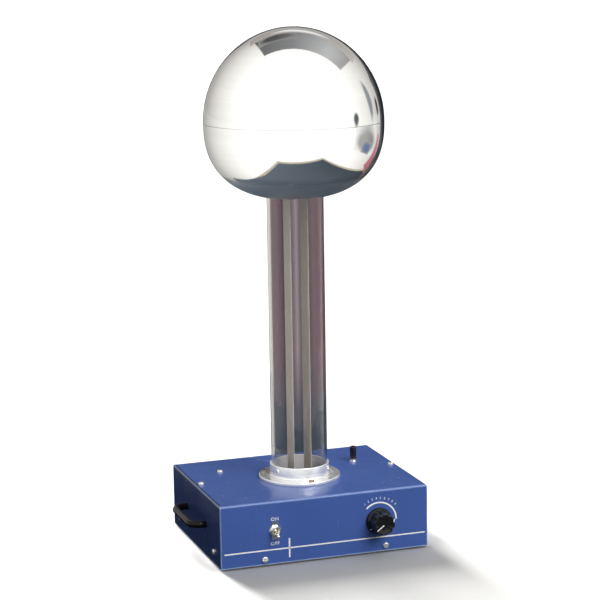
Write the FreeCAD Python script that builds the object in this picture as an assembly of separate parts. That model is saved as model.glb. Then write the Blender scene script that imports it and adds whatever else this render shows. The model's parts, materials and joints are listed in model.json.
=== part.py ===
import FreeCAD, Part

import math
import os

# Bench-top Van de Graaff generator: a blue sheet-metal housing with the motor and its
# controls, a clear tower with the charging belt inside, and a polished dome in two halves.
# Millimetres. Origin: on the bench, on the tower's axis. +X right, +Y back, +Z up.

V = FreeCAD.Vector

# ---- Housing ----
HOUSING_W = 305.0
HOUSING_D = 241.0
HOUSING_H = 89.0
SHEET = 1.5
FOLD_R = 3.0                     # outside radius of the folds round the top
CORNER_R = 1.5                   # outside radius of the four upright corners
FOOT_H = 3.0
TOWER_FORWARD = 10.5             # the tower stands this far in front of the housing's middle

SIDE_X = HOUSING_W / 2
MID_Y = TOWER_FORWARD
FRONT_Y = MID_Y - HOUSING_D / 2
BACK_Y = MID_Y + HOUSING_D / 2
BOTTOM_Z = FOOT_H
TOP_Z = FOOT_H + HOUSING_H
LID_Z = TOP_Z - SHEET            # underside of the housing's top
FLOOR_Z = BOTTOM_Z + SHEET       # upper side of the base tray

TRAY_GAP = 0.1                   # tray flange to the cover's inside
TRAY_FLANGE_H = 22.0
VENT_W = 4.0
VENT_L = 36.0
VENT_ROWS_Y = (-72.0, 100.0)
VENTS_IN_ROW = 9
VENT_PITCH = 3 * VENT_W
VENT_MIDDLE_X = 60.0
FOOT_R = 9.0
FOOT_RECESS_R = 4.2
FOOT_RECESS_H = 1.8
FOOT_INSET = 24.0
SCREW_HEIGHT_FRONT = 10.5        # front and back tray screws above the bench
SCREW_HEIGHT_SIDE = 19.5
SCREW_X_FRONT = 89.0
SCREW_Y_SIDE = 88.0              # from the housing's middle
PILLAR_R = 4.0
PILLAR_THREAD = 12.0             # depth of the thread in each end
PILLARS = [(-143.8, MID_Y), (143.8, MID_Y), (-100.4, 63.0)]

# ---- Holes for the common screws ----
M4_HOLE_R = 2.1
M4_R = 2.0
M4_THREAD_R = 2.05
M3_THREAD_R = 1.5
M3_R = 1.45
TRAY_SCREW_HOLE_R = 1.8
TAPPED_HOLE_R = 1.6
HANDLE_HOLE_R = 2.6
CONTROL_HOLE_R = 5.0

# ---- Carrying handles ----
HANDLE_R = 5.0
HANDLE_SPAN = 95.0               # between the two legs' centres
HANDLE_REACH = 20.5              # side panel to the grip's centre
HANDLE_BEND = 15.0
HANDLE_Y = 8.0
HANDLE_Z = 49.0

# ---- Controls on the front ----
SWITCH_X = -73.9
SWITCH_Z = 50.7
SWITCH_CASE_W = 16.0
SWITCH_CASE_H = 28.0
SWITCH_CASE_Y = (FRONT_Y + SHEET + 2.6, FRONT_Y + SHEET + 24.0)
SWITCH_TAB_PITCH = 9.0
SWITCH_TAB_Y = FRONT_Y + SHEET + 32.0
BUSHING_R = 5.9
BUSHING_REACH = 6.5              # bushing in front of the panel
PLATE_W = 8.6
PLATE_L = 26.0
PLATE_T = 0.8
NUT_FLATS = 14.0
NUT_T = 2.6
LEVER_TILT = 18.0                # degrees below level at rest, and as far above when on
LEVER_L = 17.5
LEVER_PIVOT = 1.0                # pivot in front of the panel
BALL_R = 3.2
KNOB_X = 78.8
KNOB_Z = 47.7
KNOB_REACH = 23.5                # panel to the knob's face
KNOB_GAP = 1.0                   # panel to the knob's back
SKIRT_R = 19.0
SKIRT_T = 4.5
GRIP_R = 15.6
FLUTES = 8
FLUTE_R = 6.0
FLUTE_CENTRE_R = GRIP_R + 4.4
POINTER_DEG = 217.0              # direction of the pointer at rest, from +X towards +Z
SHAFT_R = 3.0
SHAFT_END = 19.0                 # the knob's shaft in front of the panel
CONTROL_R = 17.0
CONTROL_BUSHING_R = 4.9
CONTROL_TAB_Y = FRONT_Y + SHEET + 25.0
CONTROL_TAB_Z = KNOB_Z - 7.6

# ---- Ground terminal on the top ----
TERMINAL_X = 99.5
TERMINAL_Y = 48.0
TERMINAL_SEAT_H = 4.0
CAP_R = 4.7
CAP_H = 18.5
CAP_FLOAT = 0.4                  # cap above its metal seat
CAP_RIBS = 14
STUD_R = 2.0
STUD_Z = (TOP_Z - 14.0, TOP_Z + 17.0)

# ---- Tower ----
TUBE_R = 40.0
TUBE_WALL = 3.0
TUBE_TOP = 560.0
TUBE_GAP = 0.05                  # collar and support ring to the tube
FLANGE_R = 58.3
FLANGE_T = 5.0
FLANGE_EDGE = 1.2
RING_R = 42.5
RING_H = 22.0
RING_EDGE = 0.6
RING_FILLET = 2.0
COLLAR_SCREW_R = 51.5
COLLAR_SCREW_DEG = [30, 150, 270]
CLAMP_SCREW_DEG = [85, 205, 325]
CLAMP_SCREW_Z = TOP_Z + 15.5
TOWER_HOLE_R = 33.0

# ---- Belt drive ----
ROLLER_R = 12.0
ROLLER_L = 36.0
ROLLER_CROWN = 0.4
BELT_T = 0.8
BELT_W = 32.0
BELT_GAP = 0.25
LOWER_Z = 48.0
UPPER_Z = 586.0
RUNNING_GAP = 0.05               # radial clearance of a shaft in its bush
BUSH_R = 6.0
BUSH_L = 8.0
BLOCK_Y = (-37.0, -27.0)         # outboard bearing block
BLOCK_W = 32.0
BLOCK_R = 14.0
YOKE_T = 4.0
YOKE_SKIRT_R = TUBE_R + 2.5
YOKE_BORE_R = 30.0
YOKE_SCREW_DEG = [60, 180, 300]
YOKE_SCREW_Z = TUBE_TOP - 3.0
EAR_Y = 22.0
EAR_T = 3.0
EAR_R = 9.0
COMB_T = 0.8
COMB_TEETH = 10
COMB_TOOTH_L = 6.0
COMB_TIP = ROLLER_R + BELT_GAP + BELT_T + 2.0
COMB_ROOT = 27.0
COMB_LEG_W = 16.0
COMB_SCREW_X = 34.0
COMB_FOOT_X = (-58.0, -COMB_ROOT - 2.0)
COMB_FOOT_SCREW = (-46.0, 0.0)
COMB_BRACKET_T = 1.5
COMB_BRACKET_W = 20.0

# ---- Motor ----
MOTOR_R = 30.0
MOTOR_FRONT = 42.0
MOTOR_BACK = 104.0
MOTOR_SHELL = 2.5
MOTOR_BOSS_R = 9.0
MOTOR_SCREW_RING_R = 22.0
MOTOR_SCREW_DEG = [45, 135, 225, 315]
ARMATURE_R = 22.0
ARMATURE_SLOTS = 12
ARMATURE_SLOT_R = 1.8
BRACKET_T = 3.0
BRACKET_W = 72.0
BRACKET_TOP = 82.0
BRACKET_FOOT = 24.0

# ---- Dome ----
DOME_R = 126.0
DOME_UP = 131.0
DOME_DOWN = 107.0
DOME_POWER = 2.44                # superellipse power of the lower half
DOME_T = 1.5
SEAM_Z = 600.6
SEAM_GAP = 0.15
THROAT_ROLL = 5.0
ROLL_START_R = 51.0              # where the rolled throat leaves the dome's curve
THROAT_H = 14.0
SUPPORT_H = 10.0
SUPPORT_SCREW_R = 1.5

# ---- Power inlet on the back ----
INLET_X = -92.0
INLET_Z = 47.5
INLET_FLANGE = 2.5               # thickness of the flange outside the panel
INLET_FLANGE_W = 50.0
INLET_FLANGE_H = 24.0
INLET_W = 27.0                   # window in the panel
INLET_H = 19.6
INLET_GAP = 0.3                  # body to the window
INLET_SCREW_X = 20.0
SOCKET_W = 24.0
SOCKET_H = 16.4
SOCKET_DEPTH = 16.0
SOCKET_BEVEL = 4.5
PIN_BACK_Y = BACK_Y - 26.0
PIN_PITCH = 7.0
PIN_DROP = 2.0                   # line and neutral below the middle, ground as far above

# ---- Wires ----
WIRE_R = 1.2
WIRE_BEND = 6.0


# ---------------------------------------------------------------- helpers

def save(node, shape):
    os.makedirs("parts", exist_ok=True)
    shape.exportStep("parts/" + node + ".step")


def box(x, y, z):
    """Block between the low and high ends of three spans."""
    return Part.makeBox(x[1] - x[0], y[1] - y[0], z[1] - z[0], V(x[0], y[0], z[0]))


def rod(radius, start, end):
    """Round bar from one point to another."""
    start, end = V(*start), V(*end)
    axis = end.sub(start)
    return Part.makeCylinder(radius, axis.Length, start, axis)


def sleeve(outer, inner, start, end):
    """Round tube from one point to another."""
    return rod(outer, start, end).cut(rod(inner, start, end))


def group(solids):
    """Several separate solids in one node."""
    return Part.makeCompound(solids)


def turned(profile):
    """Solid of revolution about Z from (radius, height) points."""
    points = [V(r, 0, z) for r, z in profile]
    face = Part.Face(Part.makePolygon(points + points[:1]))
    return face.revolve(V(0, 0, 0), V(0, 0, 1), 360)


def place(shape, point, direction, turn=0.0):
    """Move a shape made at the origin along +Z to a point, facing a direction."""
    spin = FreeCAD.Rotation(V(0, 0, 1), turn)
    facing = FreeCAD.Rotation(V(0, 0, 1), V(*direction))
    moved = shape.copy()
    moved.Placement = FreeCAD.Placement(V(*point), facing.multiply(spin)).multiply(shape.Placement)
    return moved


def round_edges(shape, radius, wanted):
    """Fillet the edges that a test picks out."""
    return shape.makeFillet(radius, [edge for edge in shape.Edges if wanted(edge)])


def upright(edge):
    low, high = edge.BoundBox.ZMin, edge.BoundBox.ZMax
    return high - low > 0.5 and edge.BoundBox.XLength < 1e-6 and edge.BoundBox.YLength < 1e-6


def level_at(z):
    return lambda edge: abs(edge.BoundBox.ZMin - z) < 1e-6 and abs(edge.BoundBox.ZMax - z) < 1e-6


def around(radius, degrees, z=0.0):
    """Point on a circle about the tower's axis."""
    angle = math.radians(degrees)
    return (radius * math.cos(angle), radius * math.sin(angle), z)


def slotted_screw(head_r, head_h, shank_r, length):
    """Round-headed slotted screw along Z with the underside of its head at the origin."""
    head = round_edges(rod(head_r, (0, 0, 0), (0, 0, head_h)), head_h * 0.6, level_at(head_h))
    slot_w = head_r * 0.28
    slot = box((-head_r, head_r), (-slot_w / 2, slot_w / 2), (head_h * 0.5, head_h + 1))
    return head.cut(slot).fuse(rod(shank_r, (0, 0, -length), (0, 0, 0.1))).removeSplitter()


def hex_nut(flats, thickness, bore_r):
    """Hexagonal nut standing on the origin, corners bevelled."""
    corner = flats / math.sqrt(3)
    points = [V(*around(corner, 60 * i)) for i in range(7)]
    blank = Part.Face(Part.makePolygon(points)).extrude(V(0, 0, thickness))
    bevel = (corner - flats / 2) * 0.6
    limit = turned([(0, 0), (corner, 0), (corner, thickness - bevel),
                    (corner - 2 * bevel, thickness), (0, thickness)])
    return blank.common(limit).cut(rod(bore_r, (0, 0, -1), (0, 0, thickness + 1)))


def wire_run(points, radius, bend):
    """Round wire along straight runs joined by tangent arcs."""
    points = [V(*p) for p in points]
    edges = []
    start = points[0]
    for before, corner, after in zip(points, points[1:], points[2:]):
        back = before.sub(corner).normalize()
        ahead = after.sub(corner).normalize()
        half = (math.pi - back.getAngle(ahead)) / 2
        reach = bend * math.tan(half)
        arc_start = corner + back * reach
        arc_end = corner + ahead * reach
        inward = (back + ahead).normalize()
        middle = corner + inward * (bend / math.cos(half) - bend)
        edges.append(Part.LineSegment(start, arc_start).toShape())
        edges.append(Part.Arc(arc_start, middle, arc_end).toShape())
        start = arc_end
    edges.append(Part.LineSegment(start, points[-1]).toShape())
    path = Part.Wire(edges)
    direction = points[1].sub(points[0])
    section = Part.Wire([Part.makeCircle(radius, points[0], direction)])
    return path.makePipeShell([section], True, False)


# ---------------------------------------------------------------- housing

def tray_screw_seats():
    """(point, outward direction) of the eight screws that hold the tray in the cover."""
    seats = []
    for side in (-1, 1):
        seats.append(((side * SCREW_X_FRONT, FRONT_Y, SCREW_HEIGHT_FRONT), (0, -1, 0)))
        seats.append(((side * SCREW_X_FRONT, BACK_Y, SCREW_HEIGHT_FRONT), (0, 1, 0)))
        for along in (-1, 1):
            y = MID_Y + along * SCREW_Y_SIDE
            seats.append(((side * SIDE_X, y, SCREW_HEIGHT_SIDE), (side, 0, 0)))
    return seats


def handle_feet(side):
    return [(side * SIDE_X, HANDLE_Y + end * HANDLE_SPAN / 2, HANDLE_Z) for end in (-1, 1)]


def through_hole(point, direction, radius, depth=8.0):
    """Drill centred on a point in a sheet."""
    step = [d * depth / 2 for d in direction]
    start = [p - s for p, s in zip(point, step)]
    end = [p + s for p, s in zip(point, step)]
    return rod(radius, start, end)


def chassis_cover():
    """Top and four sides, folded from one sheet and open underneath."""
    outer = box((-SIDE_X, SIDE_X), (FRONT_Y, BACK_Y), (BOTTOM_Z, TOP_Z))
    outer = round_edges(outer, CORNER_R, upright)
    outer = round_edges(outer, FOLD_R, level_at(TOP_Z))
    inner = box((-SIDE_X + SHEET, SIDE_X - SHEET), (FRONT_Y + SHEET, BACK_Y - SHEET),
                (BOTTOM_Z - 1, LID_Z))
    inner = round_edges(inner, FOLD_R - SHEET, level_at(LID_Z))
    cover = outer.cut(inner)
    drills = [rod(TOWER_HOLE_R, (0, 0, LID_Z - 2), (0, 0, TOP_Z + 2))]
    for degrees in COLLAR_SCREW_DEG:
        seat = around(COLLAR_SCREW_R, degrees, TOP_Z)
        drills.append(through_hole(seat, (0, 0, 1), M4_HOLE_R))
    for x, y in PILLARS:
        drills.append(through_hole((x, y, TOP_Z), (0, 0, 1), M4_HOLE_R))
    drills.append(through_hole((TERMINAL_X, TERMINAL_Y, TOP_Z), (0, 0, 1), STUD_R + 0.2))
    for point, direction in tray_screw_seats():
        drills.append(through_hole(point, direction, TRAY_SCREW_HOLE_R))
    for side in (-1, 1):
        for point in handle_feet(side):
            drills.append(through_hole(point, (side, 0, 0), HANDLE_HOLE_R))
    drills.append(through_hole((SWITCH_X, FRONT_Y, SWITCH_Z), (0, -1, 0), BUSHING_R + 0.1))
    drills.append(through_hole((KNOB_X, FRONT_Y, KNOB_Z), (0, -1, 0), CONTROL_HOLE_R))
    drills.append(box((INLET_X - INLET_W / 2, INLET_X + INLET_W / 2), (BACK_Y - 4, BACK_Y + 4),
                      (INLET_Z - INLET_H / 2, INLET_Z + INLET_H / 2)))
    for side in (-1, 1):
        point = (INLET_X + side * INLET_SCREW_X, BACK_Y, INLET_Z)
        drills.append(through_hole(point, (0, 1, 0), TAPPED_HOLE_R))
    return cover.cut(drills)


def foot_places():
    return [(sx * (SIDE_X - FOOT_INSET), MID_Y + sy * (HOUSING_D / 2 - FOOT_INSET))
            for sx in (-1, 1) for sy in (-1, 1)]


def tray_screw_holes():
    """Centres of the screws that come up through the tray's floor."""
    return foot_places() + PILLARS + bracket_screw_places()


def base_tray():
    """Bottom closing plate with upturned flanges inside the cover and two rows of vents."""
    reach_x = SIDE_X - SHEET - TRAY_GAP
    reach_y = HOUSING_D / 2 - SHEET - TRAY_GAP
    top = BOTTOM_Z + TRAY_FLANGE_H
    outer = box((-reach_x, reach_x), (MID_Y - reach_y, MID_Y + reach_y), (BOTTOM_Z, top))
    outer = round_edges(outer, FOLD_R, level_at(BOTTOM_Z))
    inner = box((-reach_x + SHEET, reach_x - SHEET),
                (MID_Y - reach_y + SHEET, MID_Y + reach_y - SHEET), (FLOOR_Z, top + 1))
    inner = round_edges(inner, FOLD_R - SHEET, level_at(FLOOR_Z))
    tray = outer.cut(inner)
    drills = []
    for sx in (-1, 1):
        for sy in (-1, 1):
            x = sx * reach_x
            y = MID_Y + sy * reach_y
            drills.append(rod(FOLD_R + SHEET, (x, y, BOTTOM_Z - 1), (x, y, top + 1)))
    for point, direction in tray_screw_seats():
        drills.append(through_hole(point, direction, TAPPED_HOLE_R))
    for x, y in tray_screw_holes():
        drills.append(through_hole((x, y, BOTTOM_Z), (0, 0, 1), M4_HOLE_R))
    for row_y in VENT_ROWS_Y:
        for column in range(VENTS_IN_ROW):
            x = VENT_MIDDLE_X + (column - (VENTS_IN_ROW - 1) / 2) * VENT_PITCH
            drills.append(vent_slot(x, row_y))
    return tray.cut(drills)


def vent_slot(x, y):
    """Round-ended slot through the tray."""
    half = VENT_L / 2 - VENT_W / 2
    z = (BOTTOM_Z - 1, FLOOR_Z + 1)
    slot = box((x - VENT_W / 2, x + VENT_W / 2), (y - half, y + half), z)
    for end in (-1, 1):
        slot = slot.fuse(rod(VENT_W / 2, (x, y + end * half, z[0]), (x, y + end * half, z[1])))
    return slot


def tray_screws():
    screw = slotted_screw(4.3, 2.5, 1.5, 6.0)
    return group([place(screw, point, way, 35 * i)
                  for i, (point, way) in enumerate(tray_screw_seats())])


def rubber_feet():
    """Low rubber discs with a recess for the screw head."""
    foot = turned([(0, 0), (FOOT_R - 0.8, 0), (FOOT_R, 0.8), (FOOT_R, FOOT_H), (0, FOOT_H)])
    foot = foot.cut(rod(FOOT_RECESS_R, (0, 0, -1), (0, 0, FOOT_RECESS_H)))
    foot = foot.cut(rod(M4_HOLE_R, (0, 0, 0), (0, 0, FOOT_H + 1)))
    return group([place(foot, (x, y, 0), (0, 0, 1)) for x, y in foot_places()])


def foot_screws():
    screw = slotted_screw(3.6, 1.4, 1.9, 9.0)
    return group([place(screw, (x, y, FOOT_RECESS_H), (0, 0, -1), 25) for x, y in foot_places()])


def inner_pillars():
    """Threaded pillars that tie the cover's top to the tray."""
    bar = rod(PILLAR_R, (0, 0, FLOOR_Z), (0, 0, LID_Z))
    for z in ((FLOOR_Z - 1, FLOOR_Z + PILLAR_THREAD), (LID_Z - PILLAR_THREAD, LID_Z + 1)):
        bar = bar.cut(rod(M4_THREAD_R, (0, 0, z[0]), (0, 0, z[1])))
    return group([place(bar, (x, y, 0), (0, 0, 1)) for x, y in PILLARS])


def pillar_screws():
    top = slotted_screw(4.2, 3.4, M4_R, 10.0)
    bottom = slotted_screw(4.0, 2.2, M4_R, 10.0)
    screws = []
    for i, (x, y) in enumerate(PILLARS):
        screws.append(place(top, (x, y, TOP_Z), (0, 0, 1), 20 + 50 * i))
        screws.append(place(bottom, (x, y, BOTTOM_Z), (0, 0, -1), 40 * i))
    return group(screws)


# ---------------------------------------------------------------- handles

def carrying_handle(side):
    """Round-bar handle: two legs, two bends and a straight grip along Y."""
    base = SIDE_X
    grip = SIDE_X + HANDLE_REACH
    low = HANDLE_Y - HANDLE_SPAN / 2
    high = HANDLE_Y + HANDLE_SPAN / 2
    corners = [(base, low), (grip, low), (grip, high), (base, high)]
    points = [(side * x, y, HANDLE_Z) for x, y in corners]
    bar = wire_run(points, HANDLE_R, HANDLE_BEND)
    for point in handle_feet(side):
        bar = bar.cut(rod(2.55, point, (point[0] + side * 12, point[1], point[2])))
    return bar


def handle_screws():
    """One screw from inside the housing into each handle leg."""
    screw = slotted_screw(4.4, 2.6, 2.5, SHEET + 10.0)
    screws = []
    for side in (-1, 1):
        for x, y, z in handle_feet(side):
            screws.append(place(screw, (x - side * SHEET, y, z), (-side, 0, 0), 30))
    return group(screws)


# ---------------------------------------------------------------- toggle switch

def switch_point(reach, up=0.0):
    """Point on the switch's axis, this far in front of the panel."""
    return (SWITCH_X, FRONT_Y - reach, SWITCH_Z + up)


def switch_body():
    """Case, terminals and threaded bushing of the toggle switch."""
    case = box((SWITCH_X - SWITCH_CASE_W / 2, SWITCH_X + SWITCH_CASE_W / 2), SWITCH_CASE_Y,
               (SWITCH_Z - SWITCH_CASE_H / 2, SWITCH_Z + SWITCH_CASE_H / 2))
    case = round_edges(case, 1.0, lambda edge: True)
    bushing = rod(BUSHING_R, switch_point(-SHEET - 4), switch_point(BUSHING_REACH))
    body = case.fuse(bushing)
    body = body.cut(Part.makeSphere(BALL_R + 0.3, V(*switch_point(LEVER_PIVOT))))
    mouth = Part.makeCone(1.2, 5.0, BUSHING_REACH - LEVER_PIVOT + 0.2,
                          V(*switch_point(LEVER_PIVOT)), V(0, -1, 0))
    body = body.cut(mouth)
    for step in (-1, 0, 1):
        z = SWITCH_Z + SWITCH_TAB_PITCH * step
        tab = box((SWITCH_X - 3, SWITCH_X + 3), (SWITCH_CASE_Y[1] - 1, SWITCH_TAB_Y),
                  (z - 0.4, z + 0.4))
        body = body.fuse(tab)
    return body


def switch_plate():
    """Narrow indicator plate with a round middle, under the nut."""
    plate = box((-PLATE_W / 2, PLATE_W / 2), (-PLATE_L / 2, PLATE_L / 2), (0, PLATE_T))
    plate = round_edges(plate, 0.6, upright)
    plate = plate.fuse(rod(NUT_FLATS / 2 + 1.0, (0, 0, 0), (0, 0, PLATE_T))).removeSplitter()
    plate = plate.cut(rod(BUSHING_R + 0.05, (0, 0, -1), (0, 0, PLATE_T + 1)))
    return place(plate, switch_point(0), (0, -1, 0))


def switch_nuts():
    nut = hex_nut(NUT_FLATS, NUT_T, BUSHING_R + 0.05)
    front = place(nut, switch_point(PLATE_T), (0, -1, 0), 12)
    back = place(nut, switch_point(-SHEET), (0, 1, 0), 12)
    return group([front, back])


def switch_lever():
    """Bat lever on a ball, pointing down and forward at rest."""
    neck = Part.makeCone(1.3, 1.7, LEVER_L - 5.0, V(0, 0, 2.0), V(0, 0, 1))
    ball = Part.makeSphere(BALL_R)
    bat = turned([(0, 4), (1.3, 4), (2.6, LEVER_L - 3.4), (2.6, LEVER_L - 1.6),
                  (1.6, LEVER_L - 0.3), (0.9, LEVER_L), (0, LEVER_L)])
    lever = ball.fuse([neck, bat]).removeSplitter()
    tilt = math.radians(LEVER_TILT)
    return place(lever, switch_point(LEVER_PIVOT), (0, -math.cos(tilt), -math.sin(tilt)))


# ---------------------------------------------------------------- speed control

def knob_point(reach):
    return (KNOB_X, FRONT_Y - reach, KNOB_Z)


def speed_knob():
    """Skirted knob with a fluted grip, made along Z from its back face."""
    depth = KNOB_REACH - KNOB_GAP
    skirt = turned([(0, 0), (SKIRT_R, 0), (SKIRT_R, 1.6), (SKIRT_R - 2.0, SKIRT_T), (0, SKIRT_T)])
    grip = turned([(0, 0), (GRIP_R, 0), (GRIP_R, SKIRT_T), (GRIP_R - 0.3, depth), (0, depth)])
    grip = round_edges(grip, 0.6, level_at(depth))
    for i in range(FLUTES):
        x, y, _ = around(FLUTE_CENTRE_R, POINTER_DEG + (i + 0.5) * 360.0 / FLUTES)
        grip = grip.cut(rod(FLUTE_R, (x, y, SKIRT_T), (x, y, depth + 1)))
    knob = skirt.fuse(grip).removeSplitter()
    knob = knob.cut(rod(12.5, (0, 0, -1), (0, 0, SKIRT_T)))
    knob = knob.cut(rod(SHAFT_R, (0, 0, -1), (0, 0, SHAFT_END - KNOB_GAP)))
    return place(knob.cut(pointer_marks()), knob_point(KNOB_GAP), (0, -1, 0))


def pointer_marks():
    """Line on the knob's face and dot on its skirt, in the knob's own frame."""
    depth = KNOB_REACH - KNOB_GAP
    line = box((1.2, GRIP_R - 1.1), (-0.75, 0.75), (depth - 0.5, depth))
    line.rotate(V(0, 0, 0), V(0, 0, 1), POINTER_DEG)
    x, y, _ = around(SKIRT_R - 1.9, POINTER_DEG)
    dot = rod(0.9, (x, y, SKIRT_T - 1.2), (x, y, SKIRT_T))
    return [line, dot]


def knob_pointer():
    return place(group(pointer_marks()), knob_point(KNOB_GAP), (0, -1, 0))


def knob_shaft():
    return rod(SHAFT_R, knob_point(SHAFT_END), knob_point(-14))


def speed_control():
    """Round rotary control behind the panel with its bushing through the panel."""
    body = rod(CONTROL_R, knob_point(-SHEET - 1.5), knob_point(-SHEET - 18))
    body = round_edges(body, 1.2, lambda edge: True)
    body = body.fuse(rod(CONTROL_BUSHING_R, knob_point(-SHEET - 3), knob_point(4.5)))
    body = body.cut(rod(SHAFT_R + RUNNING_GAP, knob_point(10), knob_point(-15)))
    for step in (-1, 0, 1):
        x = KNOB_X + 8 * step
        tab = box((x - 2, x + 2), (CONTROL_TAB_Y - 8, CONTROL_TAB_Y),
                  (CONTROL_TAB_Z - 0.4, CONTROL_TAB_Z + 0.4))
        body = body.fuse(tab)
    return body


def control_nuts():
    nut = hex_nut(12.7, 2.0, CONTROL_BUSHING_R + 0.05)
    front = place(nut, knob_point(0), (0, -1, 0))
    back = place(nut, knob_point(-SHEET), (0, 1, 0)).common(
        rod(20, knob_point(-SHEET), knob_point(-SHEET - 1.4)))
    return group([front, back])


# ---------------------------------------------------------------- ground terminal

def at_terminal(shape, z=0.0):
    return place(shape, (TERMINAL_X, TERMINAL_Y, z), (0, 0, 1))


def terminal_post():
    """Threaded stud with its metal seat on the housing's top."""
    stud = rod(STUD_R, (0, 0, STUD_Z[0]), (0, 0, STUD_Z[1]))
    seat = turned([(0, TOP_Z), (5.6, TOP_Z), (5.6, TOP_Z + 1), (4.3, TOP_Z + 1.4),
                   (4.3, TOP_Z + TERMINAL_SEAT_H), (0, TOP_Z + TERMINAL_SEAT_H)])
    return at_terminal(stud.fuse(seat).removeSplitter())


def terminal_cap():
    """Ribbed insulating cap that screws down on the stud."""
    cap = turned([(0, 0), (CAP_R - 0.3, 0), (CAP_R, 0.5), (CAP_R, CAP_H - 1.5),
                  (CAP_R - 1.2, CAP_H), (0, CAP_H)])
    for i in range(CAP_RIBS):
        x, y, _ = around(CAP_R + 0.35, i * 360.0 / CAP_RIBS)
        cap = cap.cut(rod(0.7, (x, y, 3.0), (x, y, CAP_H - 2.5)))
    cap = cap.cut(rod(STUD_R + 0.3, (0, 0, -1), (0, 0, CAP_H - 3.0)))
    return at_terminal(cap, TOP_Z + TERMINAL_SEAT_H + CAP_FLOAT)


def terminal_nuts():
    """Two nuts and a lug washer that hold the stud under the top."""
    washer = sleeve(4.5, STUD_R + 0.05, (0, 0, LID_Z - 0.8), (0, 0, LID_Z))
    nut = hex_nut(7.0, 3.0, STUD_R + 0.05)
    first = place(nut, (0, 0, LID_Z - 3.8), (0, 0, 1))
    second = place(nut, (0, 0, LID_Z - 6.8), (0, 0, 1), 20)
    return group([at_terminal(s) for s in (washer, first, second)])


# ---------------------------------------------------------------- tower

def tower_collar():
    """Cast flange and ring that hold the tube on the housing."""
    bore = TUBE_R + TUBE_GAP
    flange_z = TOP_Z + FLANGE_T
    ring_z = TOP_Z + RING_H
    profile = [(bore, TOP_Z), (FLANGE_R, TOP_Z), (FLANGE_R, flange_z - FLANGE_EDGE),
               (FLANGE_R - FLANGE_EDGE, flange_z), (RING_R + RING_FILLET, flange_z),
               (RING_R, flange_z + RING_FILLET), (RING_R, ring_z - RING_EDGE),
               (RING_R - RING_EDGE, ring_z), (bore, ring_z)]
    collar = turned(profile)
    drills = []
    for degrees in COLLAR_SCREW_DEG:
        seat = around(COLLAR_SCREW_R, degrees, TOP_Z)
        drills.append(through_hole(seat, (0, 0, 1), M4_HOLE_R, 30))
    for degrees in CLAMP_SCREW_DEG:
        start = around(TUBE_R - 2, degrees, CLAMP_SCREW_Z)
        end = around(RING_R + 2, degrees, CLAMP_SCREW_Z)
        drills.append(rod(1.6, start, end))
    return collar.cut(drills)


def collar_screws():
    screw = slotted_screw(4.2, 2.8, M4_R, FLANGE_T + 9.0)
    turns = [100, 20, 60]
    return group([place(screw, around(COLLAR_SCREW_R, deg, TOP_Z + FLANGE_T), (0, 0, 1), turn)
                  for deg, turn in zip(COLLAR_SCREW_DEG, turns)])


def collar_nuts():
    nut = hex_nut(7.0, 3.2, M4_THREAD_R)
    return group([place(nut, around(COLLAR_SCREW_R, deg, LID_Z - 3.2), (0, 0, 1), deg)
                  for deg in COLLAR_SCREW_DEG])


def clamp_screws():
    """Three screws through the ring that bear on the tube."""
    screws = []
    for degrees in CLAMP_SCREW_DEG:
        screw = slotted_screw(2.9, 2.0, 1.55, RING_R - TUBE_R - TUBE_GAP)
        point = around(RING_R, degrees, CLAMP_SCREW_Z)
        screws.append(place(screw, point, around(1.0, degrees), 15))
    return group(screws)


def tower_tube():
    tube = sleeve(TUBE_R, TUBE_R - TUBE_WALL, (0, 0, TOP_Z), (0, 0, TUBE_TOP))
    return tube.cut(yoke_drills())


# ---------------------------------------------------------------- belt and rollers

def crowned_roller(radius, length, bore_r):
    """Roller along Z about the origin, a little fuller in the middle."""
    half = length / 2
    low = radius - ROLLER_CROWN
    profile = [(0, -half), (low - 0.8, -half), (low, -half + 0.8), (radius, -half / 3),
               (radius, half / 3), (low, half - 0.8), (low - 0.8, half), (0, half)]
    return turned(profile).cut(rod(bore_r, (0, 0, -half - 1), (0, 0, half + 1)))


def lower_roller():
    roller = crowned_roller(ROLLER_R, ROLLER_L, SHAFT_R)
    return place(roller, (0, 0, LOWER_Z), (0, 1, 0))


def upper_roller():
    roller = crowned_roller(ROLLER_R, ROLLER_L, 4.0)
    for end in (-1, 1):
        z = (end * (ROLLER_L / 2 - BUSH_L), end * (ROLLER_L / 2 + 1))
        roller = roller.cut(rod(BUSH_R, (0, 0, min(z)), (0, 0, max(z))))
    return place(roller, (0, 0, UPPER_Z), (0, 1, 0))


def upper_bushings():
    """Bronze bushes pressed in the upper roller's ends, running on the fixed axle."""
    bushes = []
    for end in (-1, 1):
        inner = end * (ROLLER_L / 2 - BUSH_L)
        outer = end * (ROLLER_L / 2 + 1.0)
        bushes.append(sleeve(BUSH_R, SHAFT_R + RUNNING_GAP, (0, inner, UPPER_Z),
                             (0, outer, UPPER_Z)))
    return group(bushes)


def yoke_drills():
    """Holes for the radial screws through the yoke's skirt, the tube and the spigot."""
    return radial_rods(M3_THREAD_R, YOKE_BORE_R - 2, YOKE_SKIRT_R + 1, YOKE_SCREW_Z)


def yoke_screws():
    """Three radial screws in the skirt and one through the comb's foot."""
    radial = slotted_screw(2.4, 1.6, M3_R, 9.0)
    screws = [place(radial, around(YOKE_SKIRT_R, degrees, YOKE_SCREW_Z), around(1.0, degrees), 20)
              for degrees in YOKE_SCREW_DEG]
    comb_screw = slotted_screw(2.6, 1.8, M3_R, YOKE_T + COMB_T)
    seat = (COMB_SCREW_X, 0, TUBE_TOP + YOKE_T + COMB_T)
    screws.append(place(comb_screw, seat, (0, 0, 1), 40))
    return group(screws)


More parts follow.
